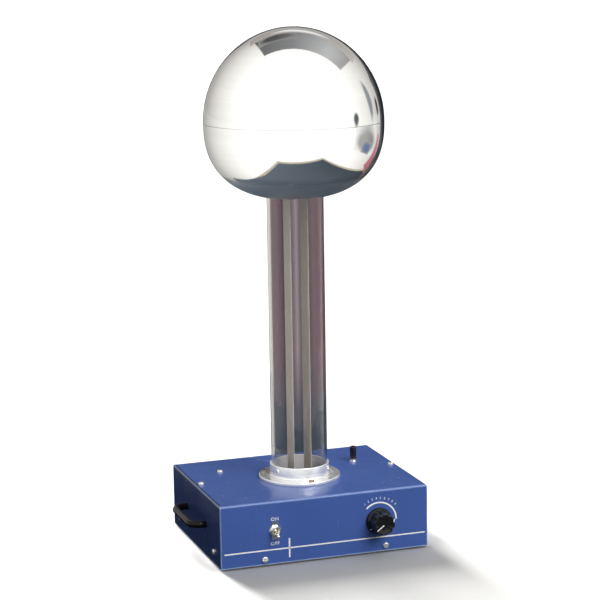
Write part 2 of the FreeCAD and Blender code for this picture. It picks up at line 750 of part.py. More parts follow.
def roller_yoke():
    """Cap ring on top of the tube with two ears for the upper axle."""
    inner_r = TUBE_R - TUBE_WALL
    ring = sleeve(YOKE_SKIRT_R, YOKE_BORE_R, (0, 0, TUBE_TOP), (0, 0, TUBE_TOP + YOKE_T))
    spigot = sleeve(inner_r - 0.1, YOKE_BORE_R + 1, (0, 0, TUBE_TOP - 8), (0, 0, TUBE_TOP + 1))
    skirt = sleeve(YOKE_SKIRT_R, TUBE_R + 0.1, (0, 0, TUBE_TOP - 6), (0, 0, TUBE_TOP + 1))
    yoke = ring.fuse([spigot, skirt])
    for end in (-1, 1):
        y = sorted((end * EAR_Y, end * (EAR_Y + EAR_T)))
        ear = box((-EAR_R, EAR_R), y, (TUBE_TOP + 1, UPPER_Z))
        ear = ear.fuse(rod(EAR_R, (0, y[0], UPPER_Z), (0, y[1], UPPER_Z)))
        foot_y = sorted((end * EAR_Y, end * (TUBE_R - 4)))
        foot = box((-EAR_R, EAR_R), foot_y, (TUBE_TOP, TUBE_TOP + YOKE_T))
        yoke = yoke.fuse([ear, foot])
    yoke = yoke.removeSplitter()
    drills = yoke_drills()
    drills.append(rod(SHAFT_R, (0, -40, UPPER_Z), (0, 40, UPPER_Z)))
    drills.append(through_hole((COMB_SCREW_X, 0, TUBE_TOP), (0, 0, 1), M3_THREAD_R, 12))
    return yoke.cut(drills)


def upper_axle():
    return rod(SHAFT_R, (0, -EAR_Y - EAR_T - 2, UPPER_Z), (0, EAR_Y + EAR_T + 2, UPPER_Z))


def charging_belt():
    """Endless belt round both rollers."""
    inner_r = ROLLER_R + BELT_GAP
    outer_r = inner_r + BELT_T

    def loop(radius):
        middle = box((-radius, radius), (-BELT_W / 2, BELT_W / 2), (LOWER_Z, UPPER_Z))
        ends = [rod(radius, (0, -BELT_W / 2, z), (0, BELT_W / 2, z)) for z in (LOWER_Z, UPPER_Z)]
        return middle.fuse(ends).removeSplitter()

    return loop(outer_r).cut(loop(inner_r))


def comb(tip_x, root_x, z):
    """Toothed collector strip along Y with its points towards the belt."""
    side = 1 if root_x > tip_x else -1
    back_x = tip_x + side * COMB_TOOTH_L
    half = BELT_W / 2 - 1
    low = z - COMB_T / 2
    strip = box(sorted((back_x, root_x)), (-half, half), (low, low + COMB_T))
    pitch = 2 * half / COMB_TEETH
    for i in range(COMB_TEETH):
        y = -half + i * pitch
        corners = [V(back_x, y, low), V(tip_x, y + pitch / 2, low), V(back_x, y + pitch, low)]
        tooth = Part.Face(Part.makePolygon(corners + corners[:1])).extrude(V(0, 0, COMB_T))
        strip = strip.fuse(tooth)
    return strip.removeSplitter()


def upper_comb():
    """Collector comb on an upright leg from the yoke."""
    y = (-COMB_LEG_W / 2, COMB_LEG_W / 2)
    seat_z = TUBE_TOP + YOKE_T
    leg = box((COMB_ROOT, COMB_ROOT + COMB_T), y, (seat_z, UPPER_Z + COMB_T / 2))
    foot = box((COMB_ROOT, TUBE_R - 1), y, (seat_z, seat_z + COMB_T))
    whole = comb(COMB_TIP, COMB_ROOT + COMB_T / 2, UPPER_Z).fuse([leg, foot]).removeSplitter()
    return whole.cut(through_hole((COMB_SCREW_X, 0, seat_z), (0, 0, 1), M3_THREAD_R))


def lower_comb():
    return comb(-COMB_TIP, -COMB_ROOT - 8, LOWER_Z)


def comb_bracket():
    """Bent strip from the tray up to the lower comb."""
    y = (-COMB_BRACKET_W / 2, COMB_BRACKET_W / 2)
    end = COMB_FOOT_X[1]
    shelf_z = LOWER_Z - COMB_T / 2
    riser = box((end - COMB_BRACKET_T, end), y, (FLOOR_Z, shelf_z))
    shelf = box((end - 6.5, end), y, (shelf_z - COMB_BRACKET_T, shelf_z))
    foot = box(COMB_FOOT_X, y, (FLOOR_Z, FLOOR_Z + COMB_BRACKET_T))
    bracket = riser.fuse([shelf, foot]).removeSplitter()
    screw_x, screw_y = COMB_FOOT_SCREW
    return bracket.cut(through_hole((screw_x, screw_y, FLOOR_Z), (0, 0, 1), M4_HOLE_R))


# ---------------------------------------------------------------- motor

def motor_axis(y):
    return (0, y, LOWER_Z)


def bracket_screw_places():
    """Screws through the tray for the motor bracket, bearing block and comb bracket."""
    places = [(side * 26.0, MOTOR_FRONT + 12.0) for side in (-1, 1)]
    places += [(side * 10.0, sum(BLOCK_Y) / 2) for side in (-1, 1)]
    return places + [COMB_FOOT_SCREW]


def motor_screw_places():
    """Centres, in x and z, of the four screws in the motor's front."""
    centres = [around(MOTOR_SCREW_RING_R, degrees) for degrees in MOTOR_SCREW_DEG]
    return [(x, LOWER_Z + up) for x, up, _ in centres]


def motor_can():
    """Drawn motor case, closed at the front and open at the back."""
    can = rod(MOTOR_R, motor_axis(MOTOR_FRONT), motor_axis(MOTOR_BACK))
    can = can.fuse(rod(MOTOR_BOSS_R, motor_axis(MOTOR_FRONT - 3), motor_axis(MOTOR_FRONT + 1)))
    hollow = rod(MOTOR_R - MOTOR_SHELL, motor_axis(MOTOR_FRONT + 4), motor_axis(MOTOR_BACK + 1))
    bore = rod(SHAFT_R + RUNNING_GAP, motor_axis(MOTOR_FRONT - 5), motor_axis(MOTOR_FRONT + 6))
    can = can.cut([hollow, bore])
    for x, z in motor_screw_places():
        can = can.cut(rod(1.75, (x, MOTOR_FRONT - 1, z), (x, MOTOR_FRONT + 5, z)))
    return can


def motor_end_bell():
    """Rear cover of the motor with its own bearing boss."""
    cover = rod(MOTOR_R, motor_axis(MOTOR_BACK), motor_axis(MOTOR_BACK + 5))
    cover = round_edges(cover, 1.5, lambda edge: abs(edge.BoundBox.YMin - MOTOR_BACK - 5) < 1e-6
                        and edge.BoundBox.YLength < 1e-6)
    cover = cover.fuse(rod(MOTOR_BOSS_R, motor_axis(MOTOR_BACK + 4), motor_axis(MOTOR_BACK + 11)))
    bore = rod(SHAFT_R + RUNNING_GAP, motor_axis(MOTOR_BACK - 1), motor_axis(MOTOR_BACK + 9))
    return cover.cut(bore).removeSplitter()


def motor_armature():
    """Wound core and commutator on the shaft, as one round piece."""
    core = rod(ARMATURE_R, motor_axis(MOTOR_FRONT + 12), motor_axis(MOTOR_BACK - 20))
    commutator = rod(MOTOR_BOSS_R, motor_axis(MOTOR_BACK - 21), motor_axis(MOTOR_BACK - 6))
    slots = []
    for i in range(ARMATURE_SLOTS):
        x, up, _ = around(ARMATURE_R, i * 360.0 / ARMATURE_SLOTS)
        z = LOWER_Z + up
        slots.append(rod(ARMATURE_SLOT_R, (x, MOTOR_FRONT + 10, z), (x, MOTOR_BACK - 18, z)))
    core = core.cut(slots).fuse(commutator)
    return core.cut(rod(SHAFT_R, motor_axis(MOTOR_FRONT), motor_axis(MOTOR_BACK)))


def motor_bracket():
    """Bent plate that carries the motor from its front face."""
    y = (MOTOR_FRONT - BRACKET_T, MOTOR_FRONT)
    plate = box((-BRACKET_W / 2, BRACKET_W / 2), y, (FLOOR_Z, BRACKET_TOP))
    foot = box((-BRACKET_W / 2, BRACKET_W / 2), (y[0], y[1] + BRACKET_FOOT),
               (FLOOR_Z, FLOOR_Z + BRACKET_T))
    bracket = plate.fuse(foot).removeSplitter()
    drills = [rod(MOTOR_BOSS_R + 0.1, motor_axis(y[0] - 1), motor_axis(y[1] + 1))]
    for x, z in motor_screw_places():
        drills.append(rod(1.8, (x, y[0] - 1, z), (x, y[1] + 1, z)))
    for x, y_place in bracket_screw_places():
        drills.append(through_hole((x, y_place, FLOOR_Z), (0, 0, 1), M4_HOLE_R))
    return bracket.cut(drills)


def motor_screws():
    screw = slotted_screw(3.2, 2.0, 1.7, BRACKET_T + 3.8)
    return group([place(screw, (x, MOTOR_FRONT - BRACKET_T, z), (0, -1, 0), 10)
                  for x, z in motor_screw_places()])


def bracket_screws():
    """Screws up through the tray with their heads underneath."""
    screw = slotted_screw(3.8, 2.2, M4_R, 8.0)
    return group([place(screw, (x, y, BOTTOM_Z), (0, 0, -1), 30)
                  for x, y in bracket_screw_places()])


def drive_shaft():
    return rod(SHAFT_R, motor_axis(BLOCK_Y[0] - 2), motor_axis(MOTOR_BACK + 8))


def bearing_block():
    """Upright block in front of the lower roller that holds the outboard bush."""
    block = box((-BLOCK_W / 2, BLOCK_W / 2), BLOCK_Y, (FLOOR_Z, LOWER_Z))
    block = block.fuse(rod(BLOCK_R, motor_axis(BLOCK_Y[0]), motor_axis(BLOCK_Y[1])))
    block = block.removeSplitter()
    block = block.cut(rod(BUSH_R, motor_axis(BLOCK_Y[0] - 1), motor_axis(BLOCK_Y[1] + 1)))
    for x, y in bracket_screw_places():
        block = block.cut(rod(M4_THREAD_R, (x, y, 0), (x, y, FLOOR_Z + PILLAR_THREAD)))
    return block


def shaft_bush():
    """Flanged bronze bush in the bearing block."""
    bush = rod(BUSH_R, motor_axis(BLOCK_Y[0]), motor_axis(BLOCK_Y[1]))
    bush = bush.fuse(rod(BUSH_R + 2, motor_axis(BLOCK_Y[0] - 1.5), motor_axis(BLOCK_Y[0])))
    bore = rod(SHAFT_R + RUNNING_GAP, motor_axis(BLOCK_Y[0] - 3), motor_axis(BLOCK_Y[1] + 1))
    return bush.cut(bore)


# ---------------------------------------------------------------- dome

def lower_curve(r):
    """Height of the lower half's outside below the seam at a radius."""
    return -DOME_DOWN * (1 - (r / DOME_R) ** DOME_POWER) ** (1 / DOME_POWER)


def lower_slope(r):
    """Outward-facing unit normal of the lower half's outside at a radius."""
    span = 0.01
    rise = (lower_curve(r + span) - lower_curve(r - span)) / (2 * span)
    length = math.hypot(rise, 1)
    return rise / length, -1 / length


def roll_centre():
    """Centre of the arc that rolls the lower half into its throat."""
    nr, nz = lower_slope(ROLL_START_R)
    return ROLL_START_R - nr * THROAT_ROLL, lower_curve(ROLL_START_R) - nz * THROAT_ROLL


def lower_side(depth):
    """Edges from the seam down the curve and round the roll to the throat's top.

    depth is the distance inside the outer surface."""
    steps = 14
    points = []
    for i in range(steps + 1):
        angle = math.pi / 2 * i / steps
        r = ROLL_START_R + (DOME_R - ROLL_START_R) * math.cos(angle)
        if i == 0:
            points.append(V(DOME_R - depth, 0, 0))
            continue
        nr, nz = lower_slope(r)
        points.append(V(r - nr * depth, 0, lower_curve(r) - nz * depth))
    curve = Part.BSplineCurve()
    curve.interpolate(points, InitialTangent=V(0, 0, -1),
                      FinalTangent=V(*tangent_at_roll()))
    cr, cz = roll_centre()
    radius = THROAT_ROLL - depth
    nr, nz = lower_slope(ROLL_START_R)
    start_angle = math.atan2(nz, nr)
    middle_angle = (start_angle - math.pi) / 2
    middle = V(cr + radius * math.cos(middle_angle), 0, cz + radius * math.sin(middle_angle))
    arc = Part.Arc(points[-1], middle, V(cr - radius, 0, cz))
    rise = Part.LineSegment(V(cr - radius, 0, cz), V(cr - radius, 0, cz + THROAT_H))
    return [curve.toShape(), arc.toShape(), rise.toShape()]


def tangent_at_roll():
    nr, nz = lower_slope(ROLL_START_R)
    return nz, 0, -nr


def throat_radius():
    """Clear radius of the throat."""
    return roll_centre()[0] - THROAT_ROLL


def dome_lower():
    """Lower half: spun shell rolled up into a throat that rests on the support ring."""
    outside = lower_side(0.0)
    inside = lower_side(DOME_T)
    rim = Part.LineSegment(V(DOME_R, 0, 0), V(DOME_R - DOME_T, 0, 0)).toShape()
    outer_end = outside[-1].Vertexes[-1].Point
    inner_end = inside[-1].Vertexes[-1].Point
    top = Part.LineSegment(outer_end, inner_end).toShape()
    wire = Part.Wire(Part.__sortEdges__(outside + inside + [rim, top]))
    shell = Part.Face(wire).revolve(V(0, 0, 0), V(0, 0, 1), 360)
    _, cz = roll_centre()
    lip_z = cz + THROAT_H
    lip = sleeve(throat_radius() + 0.5, TUBE_R + 0.3, (0, 0, lip_z - DOME_T), (0, 0, lip_z))
    shell = shell.fuse(lip).removeSplitter()
    shell.translate(V(0, 0, SEAM_Z))
    return shell


def dome_support():
    """Ring clamped on the tube under the throat's lip."""
    _, cz = roll_centre()
    top = SEAM_Z + cz + THROAT_H - DOME_T
    ring = sleeve(throat_radius() - 0.2, TUBE_R + TUBE_GAP, (0, 0, top - SUPPORT_H), (0, 0, top))
    return ring.cut(radial_rods(SUPPORT_SCREW_R + 0.05, TUBE_R - 2, throat_radius() + 2,
                                top - SUPPORT_H / 2))


def radial_rods(radius, inner, outer, z):
    """Three rods that point at the tower's axis."""
    return [rod(radius, around(inner, degrees, z), around(outer, degrees, z))
            for degrees in YOKE_SCREW_DEG]


def support_screws():
    """Grub screws from the support ring against the tube."""
    _, cz = roll_centre()
    z = SEAM_Z + cz + THROAT_H - DOME_T - SUPPORT_H / 2
    return group(radial_rods(SUPPORT_SCREW_R, TUBE_R + 0.1, throat_radius() - 0.4, z))


def dome_seam_ring():
    """Band inside the lower half that stands up to centre the upper half."""
    wall = DOME_R - DOME_T
    band = turned([(wall - 1.6, -9), (wall - 0.35, -9), (wall - 0.05, -1), (wall - 0.05, 0),
                   (wall - 0.45, 0), (wall - 0.45, 6), (wall - 0.8, 7), (wall - 1.6, 7)])
    band.translate(V(0, 0, SEAM_Z))
    return band


def quarter_ellipse(a, b):
    """Arc from the rim to the pole of a half ellipse in the XZ plane."""
    if b >= a:
        ellipse = Part.Ellipse(V(0, 0, b), V(a, 0, 0), V(0, 0, 0))
    else:
        ellipse = Part.Ellipse(V(a, 0, 0), V(0, 0, b), V(0, 0, 0))
    rim = ellipse.parameter(V(a, 0, 0))
    pole = ellipse.parameter(V(0, 0, b))
    low, high = min(rim, pole), max(rim, pole)
    if high - low > math.pi:
        low, high = high, low + 2 * math.pi
    return ellipse.toShape(low, high)


def dome_upper():
    """Upper half: half of an ellipsoid that lifts off at the seam."""
    outer = quarter_ellipse(DOME_R, DOME_UP)
    inner = quarter_ellipse(DOME_R - DOME_T, DOME_UP - DOME_T)
    rim = Part.LineSegment(V(DOME_R, 0, 0), V(DOME_R - DOME_T, 0, 0)).toShape()
    pole = Part.LineSegment(V(0, 0, DOME_UP), V(0, 0, DOME_UP - DOME_T)).toShape()
    wire = Part.Wire(Part.__sortEdges__([outer, inner, rim, pole]))
    shell = Part.Face(wire).revolve(V(0, 0, 0), V(0, 0, 1), 360)
    shell.translate(V(0, 0, SEAM_Z + SEAM_GAP))
    return shell


# ---------------------------------------------------------------- power inlet

def power_inlet():
    """Moulded three-pole inlet with its flange outside the back panel."""
    mouth_y = BACK_Y + INLET_FLANGE
    flange = inlet_box(INLET_FLANGE_W, INLET_FLANGE_H, (BACK_Y, mouth_y))
    flange = round_edges(flange, 5.0, along_y)
    body = inlet_box(INLET_W - 2 * INLET_GAP, INLET_H - 2 * INLET_GAP, (BACK_Y - 18, BACK_Y + 1))
    inlet = flange.fuse(body).removeSplitter()
    socket = inlet_box(SOCKET_W, SOCKET_H, (mouth_y - SOCKET_DEPTH, mouth_y + 1))
    top_z = INLET_Z + SOCKET_H / 2
    upper_edges = [edge for edge in socket.Edges
                   if along_y(edge) and abs(edge.BoundBox.ZMin - top_z) < 1e-6]
    inlet = inlet.cut(socket.makeChamfer(SOCKET_BEVEL, upper_edges))
    for x, z in pin_places():
        inlet = inlet.cut(pin_blade(x, z))
    return inlet.cut(in_inlet_flange(flat_screw()))


def inlet_box(width, height, y):
    """Block centred on the inlet, from one y to the other."""
    return box((INLET_X - width / 2, INLET_X + width / 2), y,
               (INLET_Z - height / 2, INLET_Z + height / 2))


def along_y(edge):
    return edge.BoundBox.XLength < 1e-6 and edge.BoundBox.ZLength < 1e-6


def pin_places():
    """Centres of the line, neutral and ground blades."""
    low = INLET_Z - PIN_DROP
    return [(INLET_X - PIN_PITCH, low), (INLET_X + PIN_PITCH, low), (INLET_X, INLET_Z + PIN_DROP)]


def pin_blade(x, z):
    end_y = BACK_Y + INLET_FLANGE - 2.0
    return box((x - 1, x + 1), (PIN_BACK_Y, end_y), (z - 2, z + 2))


def inlet_pins():
    return group([pin_blade(x, z) for x, z in pin_places()])


def flat_screw():
    """Countersunk screw without its slot, its head's face at the origin."""
    return turned([(0, 0), (2.9, 0), (1.5, -1.6), (1.5, -8), (0, -8)])


def in_inlet_flange(screw):
    """Two of a screw, flush in the inlet's flange."""
    seats = [(INLET_X + side * INLET_SCREW_X, BACK_Y + INLET_FLANGE, INLET_Z) for side in (-1, 1)]
    return [place(screw, seat, (0, 1, 0), 50) for seat in seats]


def inlet_screws():
    slot = box((-4, 4), (-0.4, 0.4), (-0.7, 1))
    return group(in_inlet_flange(flat_screw().cut(slot)))


# ---------------------------------------------------------------- wiring

def switch_wire():
    """From the inlet's line blade along the left side to the switch's lower tab."""
    x, z = pin_places()[0]
    tab_z = SWITCH_Z - SWITCH_TAB_PITCH
    return wire_run([(x, PIN_BACK_Y, z), (x, 91, z), (-84, 80, 26), (-84, -40, 26),
                     (SWITCH_X, -63, tab_z), (SWITCH_X, SWITCH_TAB_Y, tab_z)], WIRE_R, WIRE_BEND)


def control_wire():
    """From the switch's middle tab to the speed control."""
    x = KNOB_X - 8
    return wire_run([(SWITCH_X, SWITCH_TAB_Y, SWITCH_Z), (SWITCH_X, -62, SWITCH_Z), (-50, -50, 32),
                     (45, -50, 32), (x, -62, CONTROL_TAB_Z), (x, CONTROL_TAB_Y, CONTROL_TAB_Z)],
                    WIRE_R, WIRE_BEND)


def motor_wires():
    """From the inlet's neutral blade and from the speed control to the motor."""
    x, z = pin_places()[1]
    neutral = wire_run([(x, PIN_BACK_Y, z), (x, 90, z), (-62, 76, 40), (-50, 92, LOWER_Z),
                        (-MOTOR_R, 92, LOWER_Z)], WIRE_R, WIRE_BEND)
    x = KNOB_X + 8
    driven = wire_run([(x, CONTROL_TAB_Y, CONTROL_TAB_Z), (x, -64, CONTROL_TAB_Z), (82, -40, 22),
                       (72, 62, 22), (52, 92, LOWER_Z), (MOTOR_R, 92, LOWER_Z)], WIRE_R, WIRE_BEND)
    return group([neutral, driven])


def ground_wire():
    """From the inlet's ground blade over the motor to the terminal's nuts."""
    x, z = pin_places()[2]
    nut_y = TERMINAL_Y + 4.2
    nut_z = LID_Z - 2.4
    return wire_run([(x, PIN_BACK_Y, z), (x, 92, z), (-70, 86, 84), (70, 86, 84),
                     (TERMINAL_X, 70, nut_z), (TERMINAL_X, nut_y, nut_z)], WIRE_R, WIRE_BEND)


# ---------------------------------------------------------------- all nodes

PIECES = [
    chassis_cover, base_tray, tray_screws, rubber_feet, foot_screws, inner_pillars,
    pillar_screws, handle_screws, switch_body, switch_plate, switch_nuts, switch_lever,
    speed_knob, knob_pointer, knob_shaft, speed_control, control_nuts, terminal_post,
    terminal_cap, terminal_nuts, tower_collar, collar_screws, collar_nuts, clamp_screws,
    tower_tube, lower_roller, upper_roller, upper_bushings, roller_yoke, yoke_screws,
    upper_axle, charging_belt, upper_comb, lower_comb, comb_bracket, motor_can, motor_end_bell,
    motor_armature, motor_bracket, motor_screws, bracket_screws, drive_shaft, bearing_block,
    shaft_bush, dome_lower, dome_support, support_screws, dome_seam_ring, dome_upper,
    power_inlet, inlet_pins, inlet_screws, switch_wire, control_wire, motor_wires, ground_wire,
]


def main():
    for piece in PIECES:
        save(piece.__name__, piece())
    save("left_handle", carrying_handle(-1))
    save("right_handle", carrying_handle(1))


main()
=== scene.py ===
import json
import math

import bmesh
import bpy
from mathutils import Matrix, Vector


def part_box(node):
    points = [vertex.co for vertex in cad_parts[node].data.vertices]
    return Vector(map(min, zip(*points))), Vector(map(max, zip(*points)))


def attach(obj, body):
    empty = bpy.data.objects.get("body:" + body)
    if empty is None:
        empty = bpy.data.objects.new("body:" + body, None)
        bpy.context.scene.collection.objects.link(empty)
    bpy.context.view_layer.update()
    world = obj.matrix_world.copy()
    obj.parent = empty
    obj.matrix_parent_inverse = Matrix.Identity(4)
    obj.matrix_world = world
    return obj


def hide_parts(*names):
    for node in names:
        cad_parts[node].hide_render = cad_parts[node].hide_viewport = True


# Bench-top Van de Graaff generator, dressed around its CAD frame.
# Metres; +X right, +Y back, +Z up.

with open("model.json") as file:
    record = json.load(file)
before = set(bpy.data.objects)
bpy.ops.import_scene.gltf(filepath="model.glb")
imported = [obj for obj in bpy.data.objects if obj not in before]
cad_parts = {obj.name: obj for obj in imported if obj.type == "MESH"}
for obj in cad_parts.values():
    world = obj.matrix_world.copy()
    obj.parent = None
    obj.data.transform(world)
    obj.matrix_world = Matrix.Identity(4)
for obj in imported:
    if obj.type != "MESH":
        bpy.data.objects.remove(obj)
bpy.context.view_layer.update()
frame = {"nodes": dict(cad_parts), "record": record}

# -------------------------- sizes

HOUSING_LOW, HOUSING_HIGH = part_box("chassis_cover")
TOP = HOUSING_HIGH.z
FRONT = HOUSING_LOW.y
SHEET = 0.0015                   # the cover's sheet, its folds and its corners
FOLD_R = 0.003
CORNER_R = 0.0015

DOME_LOW, DOME_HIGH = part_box("dome_lower")
DOME_R = DOME_HIGH.x
DOME_WALL = 0.0015
RIM_EDGE = 0.0004                # broken edge of each half at the seam
SEAM_LOW = DOME_HIGH.z
SEAM_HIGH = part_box("dome_upper")[0].z

TUBE_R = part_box("tower_tube")[1].x
TUBE_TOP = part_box("tower_tube")[1].z
TUBE_WALL = 0.003
RING_R = 0.0425                  # outside of the collar's upright ring
AXIS_STEPS = 128                 # faces round the dome, tube and collar
FORWARD = (90, 0, 0)             # degrees; turns what points up to point out of the front


# -------------------------- modelling helpers

def leave_edit():
    bpy.ops.object.mode_set(mode="OBJECT")


def select_only(obj):
    if bpy.context.mode != "OBJECT":
        leave_edit()
    bpy.ops.object.select_all(action="DESELECT")
    obj.select_set(True)
    bpy.context.view_layer.objects.active = obj


def edit(obj):
    select_only(obj)
    bpy.ops.object.mode_set(mode="EDIT")


def select_everything():
    bpy.ops.mesh.select_all(action="SELECT")


def draw_out(x, y, z):
    """In edit mode, extrude what is selected."""
    bpy.ops.mesh.extrude_region_move(TRANSFORM_OT_translate={"value": (x, y, z)})


def spin(steps, angle, centre=(0, 0, 0), axis=(0, 0, 1)):
    bpy.ops.mesh.spin(steps=steps, angle=angle, center=centre, axis=axis)


def resize(x, y, about=(0, 0, 0)):
    bpy.ops.transform.resize(value=(x, y, 1), center_override=about)


def pick(kind, test):
    """In edit mode, select the vertices, edges or faces that pass a test."""
    mesh = bpy.context.object.data
    bpy.ops.mesh.select_mode(type=kind)
    bpy.ops.mesh.select_all(action="DESELECT")
    shape = bmesh.from_edit_mesh(mesh)
    for item in {"VERT": shape.verts, "EDGE": shape.edges, "FACE": shape.faces}[kind]:
        if test(item):
            item.select_set(True)
    bmesh.update_edit_mesh(mesh)


def close_up():
    """In edit mode, merge doubles and turn every face outwards."""
    select_everything()
    bpy.ops.mesh.remove_doubles(threshold=1e-6)
    bpy.ops.mesh.normals_make_consistent(inside=False)


def started(name):
    """The primitive that was just added, under its own name."""
    obj = bpy.context.object
    obj.name = name
    obj.data.name = name
    return obj


def settle(obj, at=(0, 0, 0), turn=(0, 0, 0)):
    """Turn a piece (degrees), move it, and put its place into its mesh."""
    select_only(obj)
    obj.rotation_euler = [math.radians(a) for a in turn]
    obj.location = at
    bpy.ops.object.transform_apply(location=True, rotation=True, scale=True)


def middle_of(node):
    low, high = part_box(node)
    return (low + high) / 2


def block(name, centre, size):
    """A box of a given size, centred on a point."""
    bpy.ops.mesh.primitive_cube_add(size=1, scale=size)
    piece = started(name)
    settle(piece, centre)
    return piece


def one_edge(name, unwanted):
    """In edit mode, a unit plane cut down to the one edge that is to be drawn out."""
    bpy.ops.mesh.primitive_plane_add(size=1)
    obj = started(name)
    edit(obj)
    pick("VERT", unwanted)
    bpy.ops.mesh.delete(type="VERT")
    select_everything()
    return obj


def apply_modifier(obj, kind, **values):
    select_only(obj)
    modifier = obj.modifiers.new(kind.lower(), kind)
    for key, value in values.items():
        setattr(modifier, key, value)
    bpy.ops.object.modifier_apply(modifier=modifier.name)


def smooth(obj, angle):
    select_only(obj)
    bpy.ops.object.shade_smooth_by_angle(angle=math.radians(angle))


def cut(obj, cutter):
    apply_modifier(obj, "BOOLEAN", operation="DIFFERENCE", solver="MANIFOLD", object=cutter)
    bpy.data.objects.remove(cutter)


def joined(pieces):
    """Several pieces as one object."""
    select_only(pieces[0])
    for piece in pieces:
        piece.select_set(True)
    bpy.ops.object.join()
    return bpy.context.object


def arc(centre, radius, start, end, steps):
    """Points of an arc in the (radius, height) plane, angles in degrees from outwards to up."""
    angles = [math.radians(start + (end - start) * i / steps) for i in range(steps + 1)]
    return [(centre[0] + radius * math.cos(a), centre[1] + radius * math.sin(a)) for a in angles]


def turned(name, outline, steps=AXIS_STEPS):
    """Extrude one vertex along an outline of (radius, height), then spin it round Z."""
    bpy.ops.mesh.primitive_plane_add(size=0.001)
    obj = started(name)
    edit(obj)
    bpy.ops.mesh.select_mode(type="VERT")
    select_everything()
    bpy.ops.mesh.merge(type="CENTER")
    bpy.ops.transform.translate(value=(outline[0][0], 0, outline[0][1]))
    for (r0, z0), (r1, z1) in zip(outline, outline[1:]):
        draw_out(r1 - r0, 0, z1 - z0)
    select_everything()
    spin(steps, 2 * math.pi)
    close_up()
    leave_edit()
    return obj


def fit(obj, body, slot, *nodes):
    """Dress a finished piece in its slot's material, on its body, in place of its CAD nodes."""
    obj.data.materials.clear()
    obj.data.materials.append(MATERIALS[slot])
    if nodes:
        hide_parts(*nodes)
    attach(obj, body)
    return obj


# -------------------------- shared shader groups

def new_group(name, inputs, outputs):
    """A shader group with named sockets: {label: default} in, {label: kind} out."""
    group = bpy.data.node_groups.new(name, "ShaderNodeTree")
    for label, value in inputs.items():
        if isinstance(value, tuple):
            kind = "NodeSocketColor" if len(value) == 4 else "NodeSocketVector"
        else:
            kind = "NodeSocketFloat"
        socket = group.interface.new_socket(name=label, in_out="INPUT", socket_type=kind)
        socket.default_value = value
    for label, kind in outputs.items():
        group.interface.new_socket(name=label, in_out="OUTPUT", socket_type=kind)
    return group, group.nodes.new("NodeGroupInput"), group.nodes.new("NodeGroupOutput")


def add(tree, kind, values=None, **settings):
    """A node of a kind, with its settings and its sockets' plain values."""
    node = tree.nodes.new("ShaderNode" + kind)
    for key, value in settings.items():
        setattr(node, key, value)
    for key, value in (values or {}).items():
        node.inputs[key].default_value = value
    return node


def join(tree, *pairs):
    for source, target in pairs:
        tree.links.new(source, target)


def mixed(tree, mask, first, second):
    """Colour that goes from the first to the second by a mask; either may be a socket."""
    node = add(tree, "Mix", data_type="RGBA")
    # The Mix node's colour sockets share their labels with its float ones.
    sides = [s for s in node.inputs if s.type == "RGBA"]
    for side, value in zip(sides, (first, second)):
        if isinstance(value, bpy.types.NodeSocket):
            tree.links.new(value, side)
        else:
            side.default_value = value
    tree.links.new(mask, node.inputs["Factor"])
    return [s for s in node.outputs if s.type == "RGBA"][0]


def noise(group, inside, **values):
    """Noise over the object at the group's scale, drawn out by its stretch if it has one."""
    place = add(group, "TexCoord").outputs["Object"]
    if "Stretch" in inside.outputs:
        drawn = add(group, "VectorMath", operation="MULTIPLY")
        join(group, (place, drawn.inputs[0]), (inside.outputs["Stretch"], drawn.inputs[1]))
        place = drawn.outputs[0]
    texture = add(group, "TexNoise", values)
    join(group, (place, texture.inputs["Vector"]),
         (inside.outputs["Scale"], texture.inputs["Scale"]))
    return texture.outputs["Fac"]


def mask_out(group, inside, outside, first, second):
    """A group's mask: two masks together, times its amount."""
    both = add(group, "Math", operation="MULTIPLY")
    amount = add(group, "Math", operation="MULTIPLY", use_clamp=True)
    join(group, (first, both.inputs[0]), (second, both.inputs[1]),
         (both.outputs[0], amount.inputs[0]), (inside.outputs["Amount"], amount.inputs[1]),
         (amount.outputs[0], outside.inputs["Mask"]))


def make_tone_group():
    """Two near colours in soft patches."""
    group, inside, outside = new_group(
        "two_tone", {"First": (1, 1, 1, 1), "Second": (0, 0, 0, 1), "Scale": 40.0,
                     "Stretch": (1.0, 1.0, 1.0)}, {"Color": "NodeSocketColor"})
    contrast = add(group, "MapRange", {"From Min": 0.35, "From Max": 0.65})
    tone = mixed(group, contrast.outputs[0], inside.outputs["First"], inside.outputs["Second"])
    join(group, (noise(group, inside, Detail=5.0, Roughness=0.6), contrast.inputs["Value"]),
         (tone, outside.inputs["Color"]))
    return group


def make_gloss_group():
    """Roughness that wanders between two values, with fine handling marks."""
    group, inside, outside = new_group(
        "uneven_gloss", {"Low": 0.2, "High": 0.4, "Scale": 30.0,
                         "Stretch": (1.0, 1.0, 1.0)}, {"Roughness": "NodeSocketFloat"})
    marks = noise(group, inside, Detail=8.0, Roughness=0.7, Distortion=0.6)
    spread = add(group, "MapRange", {"From Min": 0.3, "From Max": 0.7})
    join(group, (marks, spread.inputs["Value"]),
         (inside.outputs["Low"], spread.inputs["To Min"]),
         (inside.outputs["High"], spread.inputs["To Max"]),
         (spread.outputs[0], outside.inputs["Roughness"]))
    return group


def make_grain_group():
    """Fine relief: cast skin, orange peel, brushing or turning marks, by its stretch."""
    group, inside, outside = new_group(
        "fine_relief", {"Scale": 800.0, "Depth": 0.0001, "Strength": 0.5,
                        "Stretch": (1.0, 1.0, 1.0)}, {"Normal": "NodeSocketVector"})
    relief = add(group, "Bump")
    join(group, (noise(group, inside, Detail=4.0, Roughness=0.55), relief.inputs["Height"]),
         (inside.outputs["Depth"], relief.inputs["Distance"]),
         (inside.outputs["Strength"], relief.inputs["Strength"]),
         (relief.outputs[0], outside.inputs["Normal"]))
    return group


